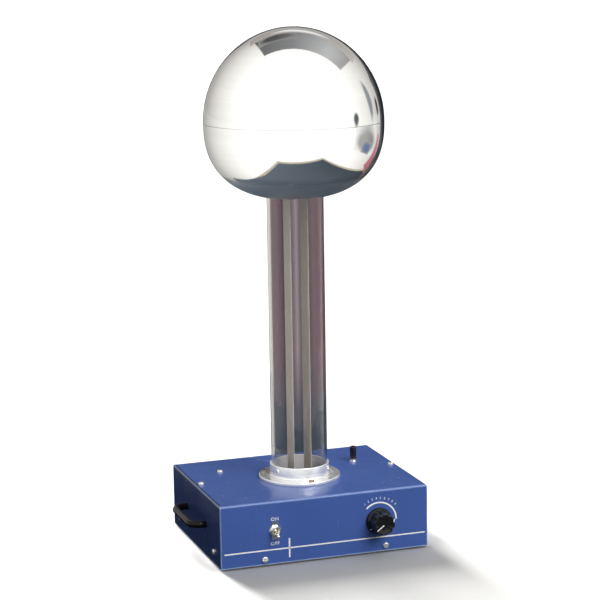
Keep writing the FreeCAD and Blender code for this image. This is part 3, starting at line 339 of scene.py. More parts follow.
def make_wear_group():
    """Mask of edges, for wear and for painted highlight: where a rounded normal leaves the true
    one, broken up by noise.
    """
    group, inside, outside = new_group(
        "edge_wear_and_highlight", {"Width": 0.001, "Amount": 0.5, "Cover": 0.0, "Scale": 300.0},
        {"Mask": "NodeSocketFloat"})
    rounded = add(group, "Bevel", samples=4)
    true = add(group, "NewGeometry")
    likeness = add(group, "VectorMath", operation="DOT_PRODUCT")
    edge = add(group, "MapRange", {"From Min": 0.995, "From Max": 0.90})
    cover = add(group, "Math", operation="ADD")
    broken = add(group, "MapRange", {"From Min": 0.48, "From Max": 0.60})
    join(group, (inside.outputs["Width"], rounded.inputs["Radius"]),
         (rounded.outputs[0], likeness.inputs[0]),
         (true.outputs["Normal"], likeness.inputs[1]),
         (likeness.outputs["Value"], edge.inputs["Value"]),
         (noise(group, inside, Detail=6.0, Roughness=0.65), cover.inputs[0]),
         (inside.outputs["Cover"], cover.inputs[1]), (cover.outputs[0], broken.inputs["Value"]))
    mask_out(group, inside, outside, edge.outputs[0], broken.outputs[0])
    return group


def make_dust_group():
    """Mask of dust that has settled on faces that look up."""
    group, inside, outside = new_group(
        "settled_dust", {"Amount": 0.2, "Scale": 60.0}, {"Mask": "NodeSocketFloat"})
    facing = add(group, "NewGeometry")
    parts = add(group, "SeparateXYZ")
    upward = add(group, "MapRange", {"From Min": 0.55, "From Max": 1.0})
    uneven = add(group, "MapRange", {"From Min": 0.40, "From Max": 0.75})
    join(group, (facing.outputs["Normal"], parts.inputs[0]),
         (parts.outputs["Z"], upward.inputs["Value"]),
         (noise(group, inside, Detail=9.0, Roughness=0.75), uneven.inputs["Value"]))
    mask_out(group, inside, outside, upward.outputs[0], uneven.outputs[0])
    return group


GROUPS = {"two_tone": make_tone_group(), "uneven_gloss": make_gloss_group(),
          "fine_relief": make_grain_group(), "edge_wear_and_highlight": make_wear_group(),
          "settled_dust": make_dust_group()}


def use(tree, name, **values):
    """A shared group in a material, with its own values."""
    node = tree.nodes.new("ShaderNodeGroup")
    node.node_tree = GROUPS[name]
    for key, value in values.items():
        node.inputs[key.capitalize()].default_value = value
    return node


# -------------------------- materials

MATERIALS = {}                   # every finish on the object, by its slot
DUST = (0.55, 0.53, 0.50, 1.0)
BARE_METAL = (0.62, 0.62, 0.61)


def colour(r, g, b):
    return (r, g, b, 1.0)


def grey(value, warm=0.0):
    return colour(value * (1 + warm), value, value * (1 - warm))


def surface(name, tones, gloss, relief, patch=40.0, stretch=(1, 1, 1), wear_and_highlight=None, dust=0.0,
            **sockets):
    """A finished surface: two tones in patches, uneven gloss, fine relief, dust, and edge marks
    that are wear on most finishes and a painted highlight on the blue paint.
    """
    material = bpy.data.materials.new(name)
    MATERIALS[name] = material
    material.use_nodes = True
    tree = material.node_tree
    shader = tree.nodes["Principled BSDF"]
    for key, value in sockets.items():
        shader.inputs[key.replace("_", " ").title().replace("Ior", "IOR")].default_value = value
    first, second = (colour(*tone) for tone in tones)
    tone = use(tree, "two_tone", first=first, second=second, scale=patch, stretch=stretch)
    finish = tone.outputs["Color"]
    # Edge mark: wear on most finishes; on the blue paint, a painted highlight along its folds and
    # edges.
    if wear_and_highlight:
        edge_colour, width, amount, cover = wear_and_highlight
        edge_mark = use(tree, "edge_wear_and_highlight", width=width, amount=amount, cover=cover)
        finish = mixed(tree, edge_mark.outputs["Mask"], finish, colour(*edge_colour))
    if dust:
        settled = use(tree, "settled_dust", amount=dust)
        finish = mixed(tree, settled.outputs["Mask"], finish, DUST)
    low, high = gloss
    shine = use(tree, "uneven_gloss", low=low, high=high, scale=patch * 1.7, stretch=stretch)
    scale, depth = relief
    grain = use(tree, "fine_relief", scale=scale, depth=depth, stretch=stretch)
    join(tree, (finish, shader.inputs["Base Color"]),
         (shine.outputs["Roughness"], shader.inputs["Roughness"]),
         (grain.outputs["Normal"], shader.inputs["Normal"]))
    return material


def make_materials():
    # The blue paint's light-blue edge mark is a painted highlight, almost unbroken along every fold
    # and edge.
    surface("blue_paint", ((0.054, 0.107, 0.350), (0.060, 0.117, 0.374)), (0.16, 0.30),
            (900.0, 0.00008), patch=9.0, wear_and_highlight=((0.52, 0.70, 0.98), 0.0026, 0.95, 0.32),
            dust=0.03, specular_ior_level=0.28)
    surface("dark_steel", ((0.020, 0.020, 0.022), (0.032, 0.032, 0.034)), (0.35, 0.55),
            (1200.0, 0.0001), patch=30.0, wear_and_highlight=(BARE_METAL, 0.0008, 0.35, 0.0))
    surface("zinc_screws", ((0.82, 0.81, 0.78), (0.66, 0.65, 0.62)), (0.16, 0.32),
            (2600.0, 0.00003), patch=300.0, metallic=0.7)
    surface("dark_brown_screws", ((0.34, 0.28, 0.21), (0.16, 0.12, 0.09)), (0.22, 0.40),
            (2600.0, 0.00003), patch=300.0, metallic=0.8)
    surface("black_rubber", ((0.018, 0.018, 0.018), (0.030, 0.029, 0.028)), (0.6, 0.8),
            (1800.0, 0.0001), patch=120.0)
    surface("aluminium", ((0.74, 0.74, 0.73), (0.66, 0.66, 0.66)), (0.25, 0.42),
            (900.0, 0.00004), patch=90.0, stretch=(1, 1, 6), metallic=1.0)
    surface("black_handle", ((0.005, 0.005, 0.006), (0.010, 0.010, 0.011)), (0.08, 0.18),
            (1300.0, 0.00004), patch=45.0, wear_and_highlight=((0.10, 0.10, 0.10), 0.0010, 0.3, 0.0),
            dust=0.005, specular_ior_level=0.14)
    surface("switch_metal", ((0.74, 0.72, 0.66), (0.60, 0.58, 0.53)), (0.20, 0.34),
            (2400.0, 0.00003), patch=300.0, metallic=1.0)
    surface("nickel_plate", ((0.84, 0.82, 0.76), (0.74, 0.72, 0.66)), (0.10, 0.24),
            (1800.0, 0.00002), patch=260.0, metallic=1.0)
    surface("black_plastic", ((0.007, 0.007, 0.008), (0.012, 0.012, 0.013)), (0.09, 0.20),
            (2400.0, 0.00004), patch=160.0, wear_and_highlight=((0.09, 0.09, 0.09), 0.0005, 0.35, 0.0),
            dust=0.006, specular_ior_level=0.3)
    surface("white_inlay", ((0.94, 0.94, 0.92), (0.88, 0.88, 0.86)), (0.35, 0.50),
            (3000.0, 0.00003), patch=500.0)
    surface("steel", ((0.60, 0.60, 0.60), (0.50, 0.50, 0.50)), (0.22, 0.38),
            (1500.0, 0.00003), patch=200.0, metallic=1.0)
    surface("dark_plastic", ((0.022, 0.022, 0.024), (0.034, 0.034, 0.036)), (0.38, 0.55),
            (1900.0, 0.00008), patch=90.0)
    surface("roller_plastic", ((0.62, 0.60, 0.54), (0.54, 0.52, 0.46)), (0.30, 0.46),
            (1400.0, 0.00005), patch=130.0, stretch=(6, 1, 6))
    surface("bronze", ((0.56, 0.36, 0.17), (0.44, 0.27, 0.12)), (0.28, 0.45),
            (1700.0, 0.00004), patch=240.0, metallic=1.0)
    surface("belt_rubber", ((0.41, 0.39, 0.345), (0.35, 0.33, 0.29)), (0.48, 0.66),
            (1600.0, 0.0001), patch=60.0, stretch=(1, 6, 1))
    surface("brass_sheet", ((0.80, 0.62, 0.28), (0.66, 0.49, 0.20)), (0.22, 0.40),
            (1500.0, 0.00003), patch=200.0, metallic=1.0)
    surface("motor_steel", ((0.46, 0.46, 0.45), (0.38, 0.38, 0.37)), (0.30, 0.45),
            (1100.0, 0.00004), patch=110.0, stretch=(6, 1, 6), metallic=1.0)
    surface("copper_winding", ((0.72, 0.30, 0.14), (0.55, 0.20, 0.09)), (0.22, 0.36),
            (700.0, 0.0004), patch=300.0, stretch=(1, 8, 1), metallic=1.0)
    for name, tones in (("wire_black", ((0.015, 0.015, 0.015), (0.012, 0.012, 0.012))),
                        ("wire_white", ((0.70, 0.70, 0.70), (0.56, 0.56, 0.56))),
                        ("wire_green", ((0.04, 0.30, 0.07), (0.03, 0.24, 0.05)))):
        surface(name, tones, (0.35, 0.5), (1800.0, 0.00004), patch=150.0)
    cast_aluminium()
    polished_dome()
    clear_acrylic()


def cast_aluminium():
    """Buffed casting that keeps its pale matt skin in the bore and on the lip."""
    skin = 0.0008                # how far in from the ring's outside the skin begins
    buffed = 0.0001
    metal = surface("cast_aluminium", ((0.88, 0.88, 0.88), (0.76, 0.77, 0.78)), (0.17, 0.30),
                    (1500.0, 0.000006), patch=30.0, stretch=(0.3, 0.3, 5),
                    wear_and_highlight=((0.96, 0.96, 0.96), 0.0012, 0.7, 0.1))
    tree = metal.node_tree
    place = add(tree, "TexCoord")
    level = add(tree, "VectorMath", {1: (1, 1, 0)}, operation="MULTIPLY")
    reach = add(tree, "VectorMath", operation="LENGTH")
    outside = add(tree, "MapRange", {"From Min": RING_R - skin, "From Max": RING_R - buffed,
                                     "To Min": 0.4, "To Max": 0.78})
    join(tree, (place.outputs["Object"], level.inputs[0]), (level.outputs[0], reach.inputs[0]),
         (reach.outputs["Value"], outside.inputs["Value"]),
         (outside.outputs[0], tree.nodes["Principled BSDF"].inputs["Metallic"]))


def polished_dome():
    """Buffed spun metal, left duller round its throat, where the wheel doesn't reach; there its
    colour also goes to slate blue, a painted reflection of the housing and table below.
    """
    metal = surface("polished_dome", ((0.90, 0.895, 0.88), (0.86, 0.855, 0.84)), (0.035, 0.085),
                    (260.0, 0.00002), patch=16.0, stretch=(0.15, 0.15, 5), metallic=1.0,
                    specular_tint=colour(0.56, 0.56, 0.58))
    unbuffed = 0.098             # how far from the middle of the throat the dull metal and the painted slate reflection go
    buffed = 0.113
    throat_roughness = 0.46
    tree = metal.node_tree
    shader = tree.nodes["Principled BSDF"]
    base, roughness = shader.inputs["Base Color"], shader.inputs["Roughness"]
    place = add(tree, "TexCoord")
    reach = add(tree, "VectorMath", {1: (0, 0, DOME_LOW.z)}, operation="DISTANCE")
    throat = add(tree, "MapRange", {"From Min": unbuffed, "From Max": buffed, "To Min": 1.0,
                                    "To Max": 0.0})
    dull = add(tree, "Math", {1: throat_roughness}, operation="MULTIPLY")
    duller = add(tree, "Math", operation="MAXIMUM")
    # Painted reflection: the throat's colour goes to slate blue, standing in for the blue housing
    # and dark table reflected there.
    painted_slate_reflection = mixed(tree, throat.outputs[0], base.links[0].from_socket, colour(0.42, 0.47, 0.53))
    join(tree, (place.outputs["Object"], reach.inputs[0]),
         (reach.outputs["Value"], throat.inputs["Value"]), (throat.outputs[0], dull.inputs[0]),
         (dull.outputs[0], duller.inputs[0]), (roughness.links[0].from_socket, duller.inputs[1]),
         (duller.outputs[0], roughness), (painted_slate_reflection, base))


def clear_acrylic():
    """Lightly smoked extruded tube: faint long streaks and fine scratches."""
    surface("clear_acrylic", ((0.86, 0.84, 0.84), (0.80, 0.80, 0.79)), (0.015, 0.06),
            (500.0, 0.00001), patch=28.0, stretch=(1, 1, 0.03), transmission_weight=1.0,
            ior=1.49, specular_tint=colour(0.42, 0.34, 0.38))


def dress_frame():
    """Give every CAD node the finish of its slot; the collar's flange screws are dark brown."""
    for part in frame["record"]["subparts"]:
        slots = frame["nodes"][part["node"]].data.materials
        slots.clear()
        dark_brown = part["node"] == "collar_screws"
        slots.append(MATERIALS["dark_brown_screws" if dark_brown else part["material_slot"]])


# -------------------------- housing

TOWER_HOLE_R = 0.033
SWITCH_HOLE_R = 0.006
KNOB_HOLE_R = 0.005
TERMINAL_HOLE_R = 0.0022
INLET_WINDOW = (0.0270, 0.012, 0.0196)


def drill(radius, at, turn=(0, 0, 0), depth=0.012, steps=48):
    """A round cutter centred on a point, along Z unless turned."""
    bpy.ops.mesh.primitive_cylinder_add(vertices=steps, radius=radius, depth=depth)
    cutter = started("drill")
    settle(cutter, at, turn)
    return cutter


def is_upright(edge):
    return abs(edge.verts[0].co.z - edge.verts[1].co.z) > FOLD_R


def is_on_outside(edge):
    return abs(edge.verts[0].co.x) > HOUSING_HIGH.x - 0.1 * SHEET


def housing_shell():
    """Folded cover: open underneath, rounded at its folds, drilled for what it carries."""
    shell = block("housing_shell", (HOUSING_LOW + HOUSING_HIGH) / 2, HOUSING_HIGH - HOUSING_LOW)
    edit(shell)
    pick("FACE", lambda f: f.normal.z < -0.5)
    bpy.ops.mesh.delete(type="FACE")
    leave_edit()
    apply_modifier(shell, "SOLIDIFY", thickness=SHEET, offset=-1, use_even_offset=True)
    edit(shell)
    pick("EDGE", lambda e: is_upright(e) and is_on_outside(e))
    bpy.ops.mesh.bevel(offset=CORNER_R, segments=4, affect="EDGES")
    pick("EDGE", lambda e: all(v.co.z > TOP - 0.1 * SHEET for v in e.verts))
    bpy.ops.mesh.bevel(offset=FOLD_R, segments=6, affect="EDGES")
    switch = middle_of("switch_plate")
    knob = middle_of("speed_knob")
    terminal = middle_of("terminal_cap")
    inlet = middle_of("power_inlet")
    for x in (0, switch.x, knob.x, terminal.x, inlet.x):
        select_everything()
        bpy.ops.mesh.bisect(plane_co=(x, 0, 0), plane_no=(1, 0, 0))
    leave_edit()
    cutters = [block("window", (inlet.x, HOUSING_HIGH.y, inlet.z), INLET_WINDOW),
               drill(TOWER_HOLE_R, (0, 0, TOP), steps=96),
               drill(SWITCH_HOLE_R, (switch.x, FRONT, switch.z), FORWARD),
               drill(KNOB_HOLE_R, (knob.x, FRONT, knob.z), FORWARD),
               drill(TERMINAL_HOLE_R, (terminal.x, terminal.y, TOP))]
    cut(shell, joined(cutters))
    smooth(shell, 30)
    apply_modifier(shell, "WEIGHTED_NORMAL", keep_sharp=True, weight=80)
    fit(shell, "generator", "blue_paint", "chassis_cover")


def carrying_bar(side):
    """Round-bar handle: a ring drawn out, bent, drawn along the grip, bent and drawn back."""
    low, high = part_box(side + "_handle")
    radius = (high.z - low.z) / 2
    height = (high.z + low.z) / 2
    bend = 0.015
    bend_steps = 14
    grip_steps = 4
    out = high.x - low.x - radius - bend
    turn_x = HOUSING_HIGH.x + out
    first = low.y + radius
    last = high.y - radius
    bpy.ops.mesh.primitive_circle_add(vertices=32, radius=radius)
    bar = started(side + "_carrying_bar")
    settle(bar, (HOUSING_HIGH.x, first, height), (0, 90, 0))
    edit(bar)
    select_everything()
    draw_out(out, 0, 0)
    spin(bend_steps, -math.pi / 2, (turn_x, first + bend, height))
    for _ in range(grip_steps):
        draw_out(0, (last - first - 2 * bend) / grip_steps, 0)
    spin(bend_steps, -math.pi / 2, (turn_x, last - bend, height))
    draw_out(-out, 0, 0)
    pick("EDGE", lambda e: e.is_boundary)
    bpy.ops.mesh.fill_holes(sides=0)
    close_up()
    if side == "left":
        bpy.ops.transform.mirror(constraint_axis=(True, False, False), center_override=(0, 0, 0))
        close_up()
    leave_edit()
    smooth(bar, 50)
    fit(bar, "generator", "black_handle", side + "_handle")


# -------------------------- tower

COLLAR_BORE = TUBE_R + 0.00005
COLLAR_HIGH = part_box("tower_collar")[1]
FLANGE_T = 0.005


def tower_collar():
    """Cast flange, filleted into an upright ring with a turned lip and groove."""
    flange_r = COLLAR_HIGH.x
    flange_top = TOP + FLANGE_T
    ring_top = COLLAR_HIGH.z
    chamfer = 0.0006
    edge_r = 0.0014
    groove_r = RING_R + 0.0046
    groove_half = 0.0004
    groove_depth = 0.0003
    fillet_r = 0.0024
    lip_r = 0.0008
    bore_edge = 0.0005
    outline = [(COLLAR_BORE, TOP), (flange_r - chamfer, TOP), (flange_r, TOP + chamfer)]
    outline += arc((flange_r - edge_r, flange_top - edge_r), edge_r, 0, 90, 6)
    outline += [(groove_r + groove_half, flange_top), (groove_r, flange_top - groove_depth),
                (groove_r - groove_half, flange_top)]
    outline += arc((RING_R + fillet_r, flange_top + fillet_r), fillet_r, 270, 180, 6)
    outline += arc((RING_R - lip_r, ring_top - lip_r), lip_r, 0, 90, 5)
    outline += [(COLLAR_BORE + bore_edge, ring_top), (COLLAR_BORE, ring_top - bore_edge),
                (COLLAR_BORE, TOP)]
    collar = turned("mounting_collar", outline)
    smooth(collar, 34)
    fit(collar, "generator", "cast_aluminium", "tower_collar")


def tower_tube():
    """Clear tube with broken edges, so that it bends light like the real wall."""
    inner = TUBE_R - TUBE_WALL
    edge = 0.0003
    outline = [(inner + edge, TOP), (TUBE_R - edge, TOP), (TUBE_R, TOP + edge)]
    outline += [(TUBE_R, TUBE_TOP - edge), (TUBE_R - edge, TUBE_TOP), (inner + edge, TUBE_TOP)]
    outline += [(inner, TUBE_TOP - edge), (inner, TOP + edge), (inner + edge, TOP)]
    tube = turned("clear_tube", outline)
    smooth(tube, 30)
    tube.visible_shadow = False
    fit(tube, "generator", "clear_acrylic", "tower_tube")


# -------------------------- dome

DOME_POWER = 2.44                # superellipse power of the lower half
DOME_DOWN = 0.107
ROLL_R = 0.005
ROLL_START = 0.051
THROAT_H = 0.014
LIP_BORE = TUBE_R + 0.0003


def lower_height(r):
    """Height of the lower half's outside, below the seam, at a radius."""
    return -DOME_DOWN * max(0.0, 1 - (r / DOME_R) ** DOME_POWER) ** (1 / DOME_POWER)


def lower_normal(r):
    """Outward normal of the lower half's outside at a radius."""
    span = 0.00001
    rise = (lower_height(r + span) - lower_height(r - span)) / (2 * span)
    length = math.hypot(rise, 1)
    return rise / length, -1 / length


def lower_side(depth, steps=30):
    """The lower half's section from the seam down and round the throat, this far inside."""
    points = [(DOME_R - depth, 0.0)]
    for i in range(1, steps + 1):
        r = ROLL_START + (DOME_R - ROLL_START) * math.cos(math.pi / 2 * i / steps)
        nr, nz = lower_normal(r)
        points.append((r - nr * depth, lower_height(r) - nz * depth))
    nr, nz = lower_normal(ROLL_START)
    centre = (ROLL_START - nr * ROLL_R, lower_height(ROLL_START) - nz * ROLL_R)
    start = math.degrees(math.atan2(nz, nr))
    points += arc(centre, ROLL_R - depth, start, -180, 8)[1:]
    points.append((centre[0] - ROLL_R + depth, centre[1] + THROAT_H - DOME_WALL))
    return points, centre


def dome_base():
    """Lower half: spun bowl, its throat rolled up and turned in to a lip."""
    outside, centre = lower_side(0.0)
    inside, _ = lower_side(DOME_WALL)
    lip = centre[1] + THROAT_H
    inside[-1] = (inside[-1][0], lip)
    rim = [(DOME_R - DOME_WALL, 0.0), (DOME_R - RIM_EDGE, 0.0), (DOME_R, -RIM_EDGE)]
    outline = rim + outside[1:] + [(LIP_BORE, lip - DOME_WALL), (LIP_BORE, lip)] + inside[::-1]
    outline = [(r, SEAM_LOW + z) for r, z in outline]
    base = turned("dome_base", outline)
    smooth(base, 40)
    fit(base, "generator", "polished_dome", "dome_lower")


def upper_side(depth, steps=36):
    """The upper half's section from above its rim to the top, this far inside."""
    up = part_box("dome_upper")[1].z - SEAM_HIGH - depth
    angles = [math.pi / 2 * i / steps for i in range(1, steps + 1)]
    return [((DOME_R - depth) * math.cos(a), SEAM_HIGH + up * math.sin(a)) for a in angles]


def dome_cap():
    """Upper half: spun shell, round at its rim."""
    rim = [(DOME_R - DOME_WALL, SEAM_HIGH), (DOME_R - RIM_EDGE, SEAM_HIGH),
           (DOME_R, SEAM_HIGH + RIM_EDGE)]
    outline = upper_side(DOME_WALL)[::-1] + rim + upper_side(0.0)
    cap = turned("dome_cap", outline)
    smooth(cap, 40)
    fit(cap, "dome_top", "polished_dome", "dome_upper")


# -------------------------- belt

def charging_belt():
    """Flat endless belt: a strip drawn up, bent over the top roller and brought back."""
    low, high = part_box("charging_belt")
    thick = 0.0008
    clear = 0.0004               # how much narrower than its node
    skin = 0.00004               # how much thinner than its node
    edge_r = 0.0002
    steps = 24
    radius = (high.x - low.x) / 2 - thick / 2
    bottom = low.z + radius + thick / 2
    top = high.z - radius - thick / 2
    belt = one_edge("rubber_belt", lambda v: v.co.x < 0)
    resize(1, high.y - low.y - clear)
    bpy.ops.transform.translate(value=(radius - 0.5, 0, bottom))
    for rise, end in ((top - bottom, top), (bottom - top, bottom)):
        for _ in range(steps):
            draw_out(0, 0, rise / steps)
        spin(steps, math.pi, (0, 0, end), (0, 1, 0))
    close_up()
    leave_edit()
    apply_modifier(belt, "SOLIDIFY", thickness=thick - skin, offset=0)
    apply_modifier(belt, "BEVEL", width=edge_r, segments=2, limit_method="ANGLE",
                   angle_limit=math.radians(60), miter_outer="MITER_ARC")
    smooth(belt, 40)
    fit(belt, "generator", "belt_rubber", "charging_belt")


# -------------------------- controls

POINTER_DEG = 217.0              # where the knob's line points at rest, from +X towards +Z


def press_flutes(count, first, band, core, rows):
    """In edit mode, press every flute in, a row of (half its width in degrees, share) at a time."""
    low, high = band
    pitch = 360 / count
    for half_width, share in rows:
        pick("VERT", lambda v: low < v.co.z < high and math.hypot(v.co.x, v.co.y) > core
             and abs((math.degrees(math.atan2(v.co.y, v.co.x)) - first + pitch / 2) % pitch
                     - pitch / 2) < half_width)
        resize(share, share)


def speed_knob():
    """Skirted knob with a fluted grip and a dished face."""
    low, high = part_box("speed_knob")
    middle = middle_of("speed_knob")
    depth = high.y - low.y
    skirt_r = (high.x - low.x) / 2
    skirt_t = 0.0045
    skirt_edge = 0.0016
    grip_r = 0.0156
    edge = 0.0003
    front_r = 0.0009             # rounding at the grip's front
    face_r = grip_r - 0.0020
    dish = 0.0002
    slope = 0.0025               # how far the skirt slopes in from its edge
    grip_foot = skirt_t + edge
    grip_rise = depth - front_r - grip_foot
    outline = [(0, 0), (skirt_r - edge, 0), (skirt_r, edge), (skirt_r, skirt_edge)]
    outline += [(skirt_r - slope + 0.0004, skirt_t - 0.0001), (skirt_r - slope, skirt_t)]
    outline += [(grip_r + edge, skirt_t), (grip_r, grip_foot)]
    outline += [(grip_r - edge * i / 4, grip_foot + grip_rise * i / 4) for i in range(1, 5)]
    outline += arc((grip_r - edge - front_r, depth - front_r), front_r, 0, 90, 5)
    outline += [(face_r, depth), (face_r - 0.0004, depth - dish), (0, depth - dish)]
    knob = turned("knob_body", outline, 144)
    edit(knob)
    flutes = 8
    press_flutes(flutes, POINTER_DEG + 180 / flutes, (skirt_t + 0.0001, depth + 0.001), 0.010,
                 ((9.5, 0.985), (8.0, 0.972), (6.0, 0.972), (3.6, 0.980)))
    leave_edit()
    smooth(knob, 38)
    settle(knob, (middle.x, high.y, middle.z), FORWARD)
    fit(knob, "knob", "black_plastic", "speed_knob")


def switch_bat():
    """Bat lever: round ball, thin neck and a swelling tip, leaning down."""
    tilt = 18.0
    length = 0.0175
    ball_r = 0.0031
    tip_r = 0.0021
    plate = middle_of("switch_plate")
    outline = arc((0, 0), ball_r, -90, 62, 12)
    outline += [(0.00135, 0.0040), (0.00140, 0.0060), (0.00175, 0.0090), (0.00215, 0.0118)]
    outline += [(0.00250, length - 0.0030)]
    outline += arc((0.00050, length - tip_r), tip_r, 10, 90, 6)
    outline += [(0, length)]
    bat = turned("toggle_bat", outline, 40)
    smooth(bat, 45)
    settle(bat, (plate.x, FRONT - 0.001, plate.z), (90 + tilt, 0, 0))
    fit(bat, "toggle", "nickel_plate", "switch_lever")


def terminal_head():
    """Ribbed insulating cap of the ground terminal, domed on top."""
    low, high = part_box("terminal_cap")
    middle = middle_of("terminal_cap")
    radius = (high.x - low.x) / 2
    tall = high.z - low.z
    edge = 0.0004
    ribs_low = 0.0030
    ribs_high = tall - 0.0030
    crown_r = 0.0016
    outline = [(0, 0), (radius - edge, 0), (radius, edge)]
    outline += [(radius, ribs_low - 0.0004), (radius, ribs_low), (radius, ribs_low + 0.0004)]
    outline += [(radius, ribs_high - 0.0006), (radius, ribs_high)]
    outline += arc((radius - crown_r, tall - crown_r), crown_r, 0, 80, 5)
    outline += [(0.0012, tall - 0.0001), (0, tall)]
    head = turned("terminal_head_cap", outline, 84)
    edit(head)
    flutes = 14
    press_flutes(flutes, 180 / flutes, (ribs_low - 0.0001, ribs_high - 0.0001), 0.003,
                 ((9.0, 0.95), (5.0, 0.97)))
    leave_edit()
    smooth(head, 35)
    settle(head, (middle.x, middle.y, low.z))
    fit(head, "terminal_head", "black_plastic", "terminal_cap")


# -------------------------- printing on the front

INK = 0.00006                    # thickness of the printed lines


def printed_bar(name, x, z):
    """A printed rectangle on the front, given its ends in x and z."""
    return block(name, ((x[0] + x[1]) / 2, FRONT - INK / 2, (z[0] + z[1]) / 2),
                 (x[1] - x[0], INK, z[1] - z[0]))


def printed_word(text, height, at, turn=0.0):
    """Generic wording as a thin mesh on the front, centred on a point."""
    bpy.ops.object.text_add()
    word = bpy.context.object
    word.data.body = text
    word.data.size = height
    word.data.align_x = "CENTER"
    word.data.align_y = "CENTER"
    word.data.extrude = INK / 2
    word.data.space_character = 1.15
    select_only(word)
    bpy.ops.object.convert(target="MESH")
    word = bpy.context.object
    edit(word)
    close_up()
    leave_edit()
    settle(word, (0, 0, 0), (0, 0, turn))
    settle(word, (at[0], FRONT - INK / 2, at[1]), FORWARD)
    return word


def front_printing():
    """Long rule with a short upright, the switch's ON and OFF, and the speed scale."""
    word_x, word_height = -0.0739, 0.0068
    scale_r, figure_height = 0.0325, 0.0046
    scale_start, figure_gap = 140, 11.0   # degrees, from +X towards +Z
    bars = [printed_bar("rule", (-0.147, 0.148), (0.0226, 0.0244)),
            printed_bar("upright", (-0.0543, -0.0521), (0.0101, 0.0374))]
    words = [printed_word("ON", word_height, (word_x, 0.0668)),
             printed_word("OFF", word_height, (word_x, 0.0320))]
    knob = middle_of("speed_knob")
    for step in range(1, 10):
        a = math.radians(scale_start - figure_gap * step)
        at = (knob.x + scale_r * math.cos(a), knob.z + scale_r * math.sin(a))
        words.append(printed_word(str(step), figure_height, at, math.degrees(a) - 90))
    printing = joined(bars + words + [speed_sweep(knob)])
    printing.name = "front_printing"
    printing.data.name = "front_printing"
    fit(printing, "generator", "white_inlay")


def speed_sweep(knob):
    """Curved arrow round the top of the knob."""
    inner, outer = 0.0250, 0.0272
    start, end = 134.0, 0.0
    head_r = 0.0036
    sweep = one_edge("sweep", lambda v: v.co.y < 0)
    resize(outer - inner, 1, about=(0, 0.5, 0))
    bpy.ops.transform.translate(value=((inner + outer) / 2, -0.5, 0))
    spin(40, math.radians(end - start))
    leave_edit()
    bpy.ops.mesh.primitive_circle_add(vertices=3, radius=head_r, fill_type="NGON")
    head = started("arrow_head")
    settle(head, ((inner + outer) / 2, -0.0022, 0), (0, 0, 180))
    head.scale = (0.85, 1.25, 1)
    settle(head)
    arrow = joined([sweep, head])
    apply_modifier(arrow, "SOLIDIFY", thickness=INK, offset=0)
    settle(arrow, (knob.x, FRONT - INK / 2, knob.z), FORWARD)
    return arrow


# -------------------------- stage, lamps and camera

CAMERA_AT = (-0.8813, -2.6318, 0.8625)
CAMERA_TURN = 18.61              # degrees to the right of +Y
CAMERA_DIP = 10.49
CAMERA_ROLL = -0.94
CAMERA_LENS = 120.05
CAMERA_SENSOR = 36.0
FLOOR_LIFT = 0.04                # how much the floor glows to the camera
FLOOR_BOUNCE = 0.10              # how bright the floor is to matt surfaces
FRONT_WAY = (-0.30, -0.92, 0.25)   # where the room is brightest in reflections
LIT_WAY = (0.92, -0.08, 0.38)    # where it is brightest to matt surfaces
KEY_WAY = (0.27, -0.67, 0.69)
KEY_STRENGTH, KEY_SPREAD = 2.6, 40
BACK_STRENGTH, BACK_SPREAD = 0.80, 14
BACK_SIDE = -0.13                # how far the floor's lamps stand to the left
BACK_HEIGHTS = (5, 15, 25, 35, 45)   # degrees above the floor


def put_in(name, data):
    """A camera or lamp, put in the scene."""
    obj = bpy.data.objects.new(name, data)
    bpy.context.scene.collection.objects.link(obj)
    return obj


def make_camera():
    data = bpy.data.cameras.new("camera")
    data.lens = CAMERA_LENS
    data.sensor_width = CAMERA_SENSOR
    data.clip_end = 60.0
    camera = put_in("camera", data)
    camera.matrix_world = (
        Matrix.Translation(CAMERA_AT)
        @ Matrix.Rotation(math.radians(-CAMERA_TURN), 4, "Z")
        @ Matrix.Rotation(math.radians(90 - CAMERA_DIP), 4, "X")
        @ Matrix.Rotation(math.radians(CAMERA_ROLL), 4, "Z"))
    bpy.context.scene.camera = camera


def facing_front(tree, place, dull, bright):
    """Colour that goes from dull to bright as a direction comes round to the room's front."""
    facing = add(tree, "VectorMath", {1: FRONT_WAY}, operation="DOT_PRODUCT")
    share = add(tree, "MapRange", {"From Min": -0.75, "From Max": 0.35})
    join(tree, (place, facing.inputs[0]), (facing.outputs["Value"], share.inputs["Value"]))
    return mixed(tree, share.outputs[0], dull, bright)


def empty_tree(obj, name):
    """The shader tree of a stage object's new material, with nothing in it yet."""
    material = bpy.data.materials.new(name)
    material.use_nodes = True
    material.node_tree.nodes.clear()
    obj.data.materials.append(material)
    return material.node_tree


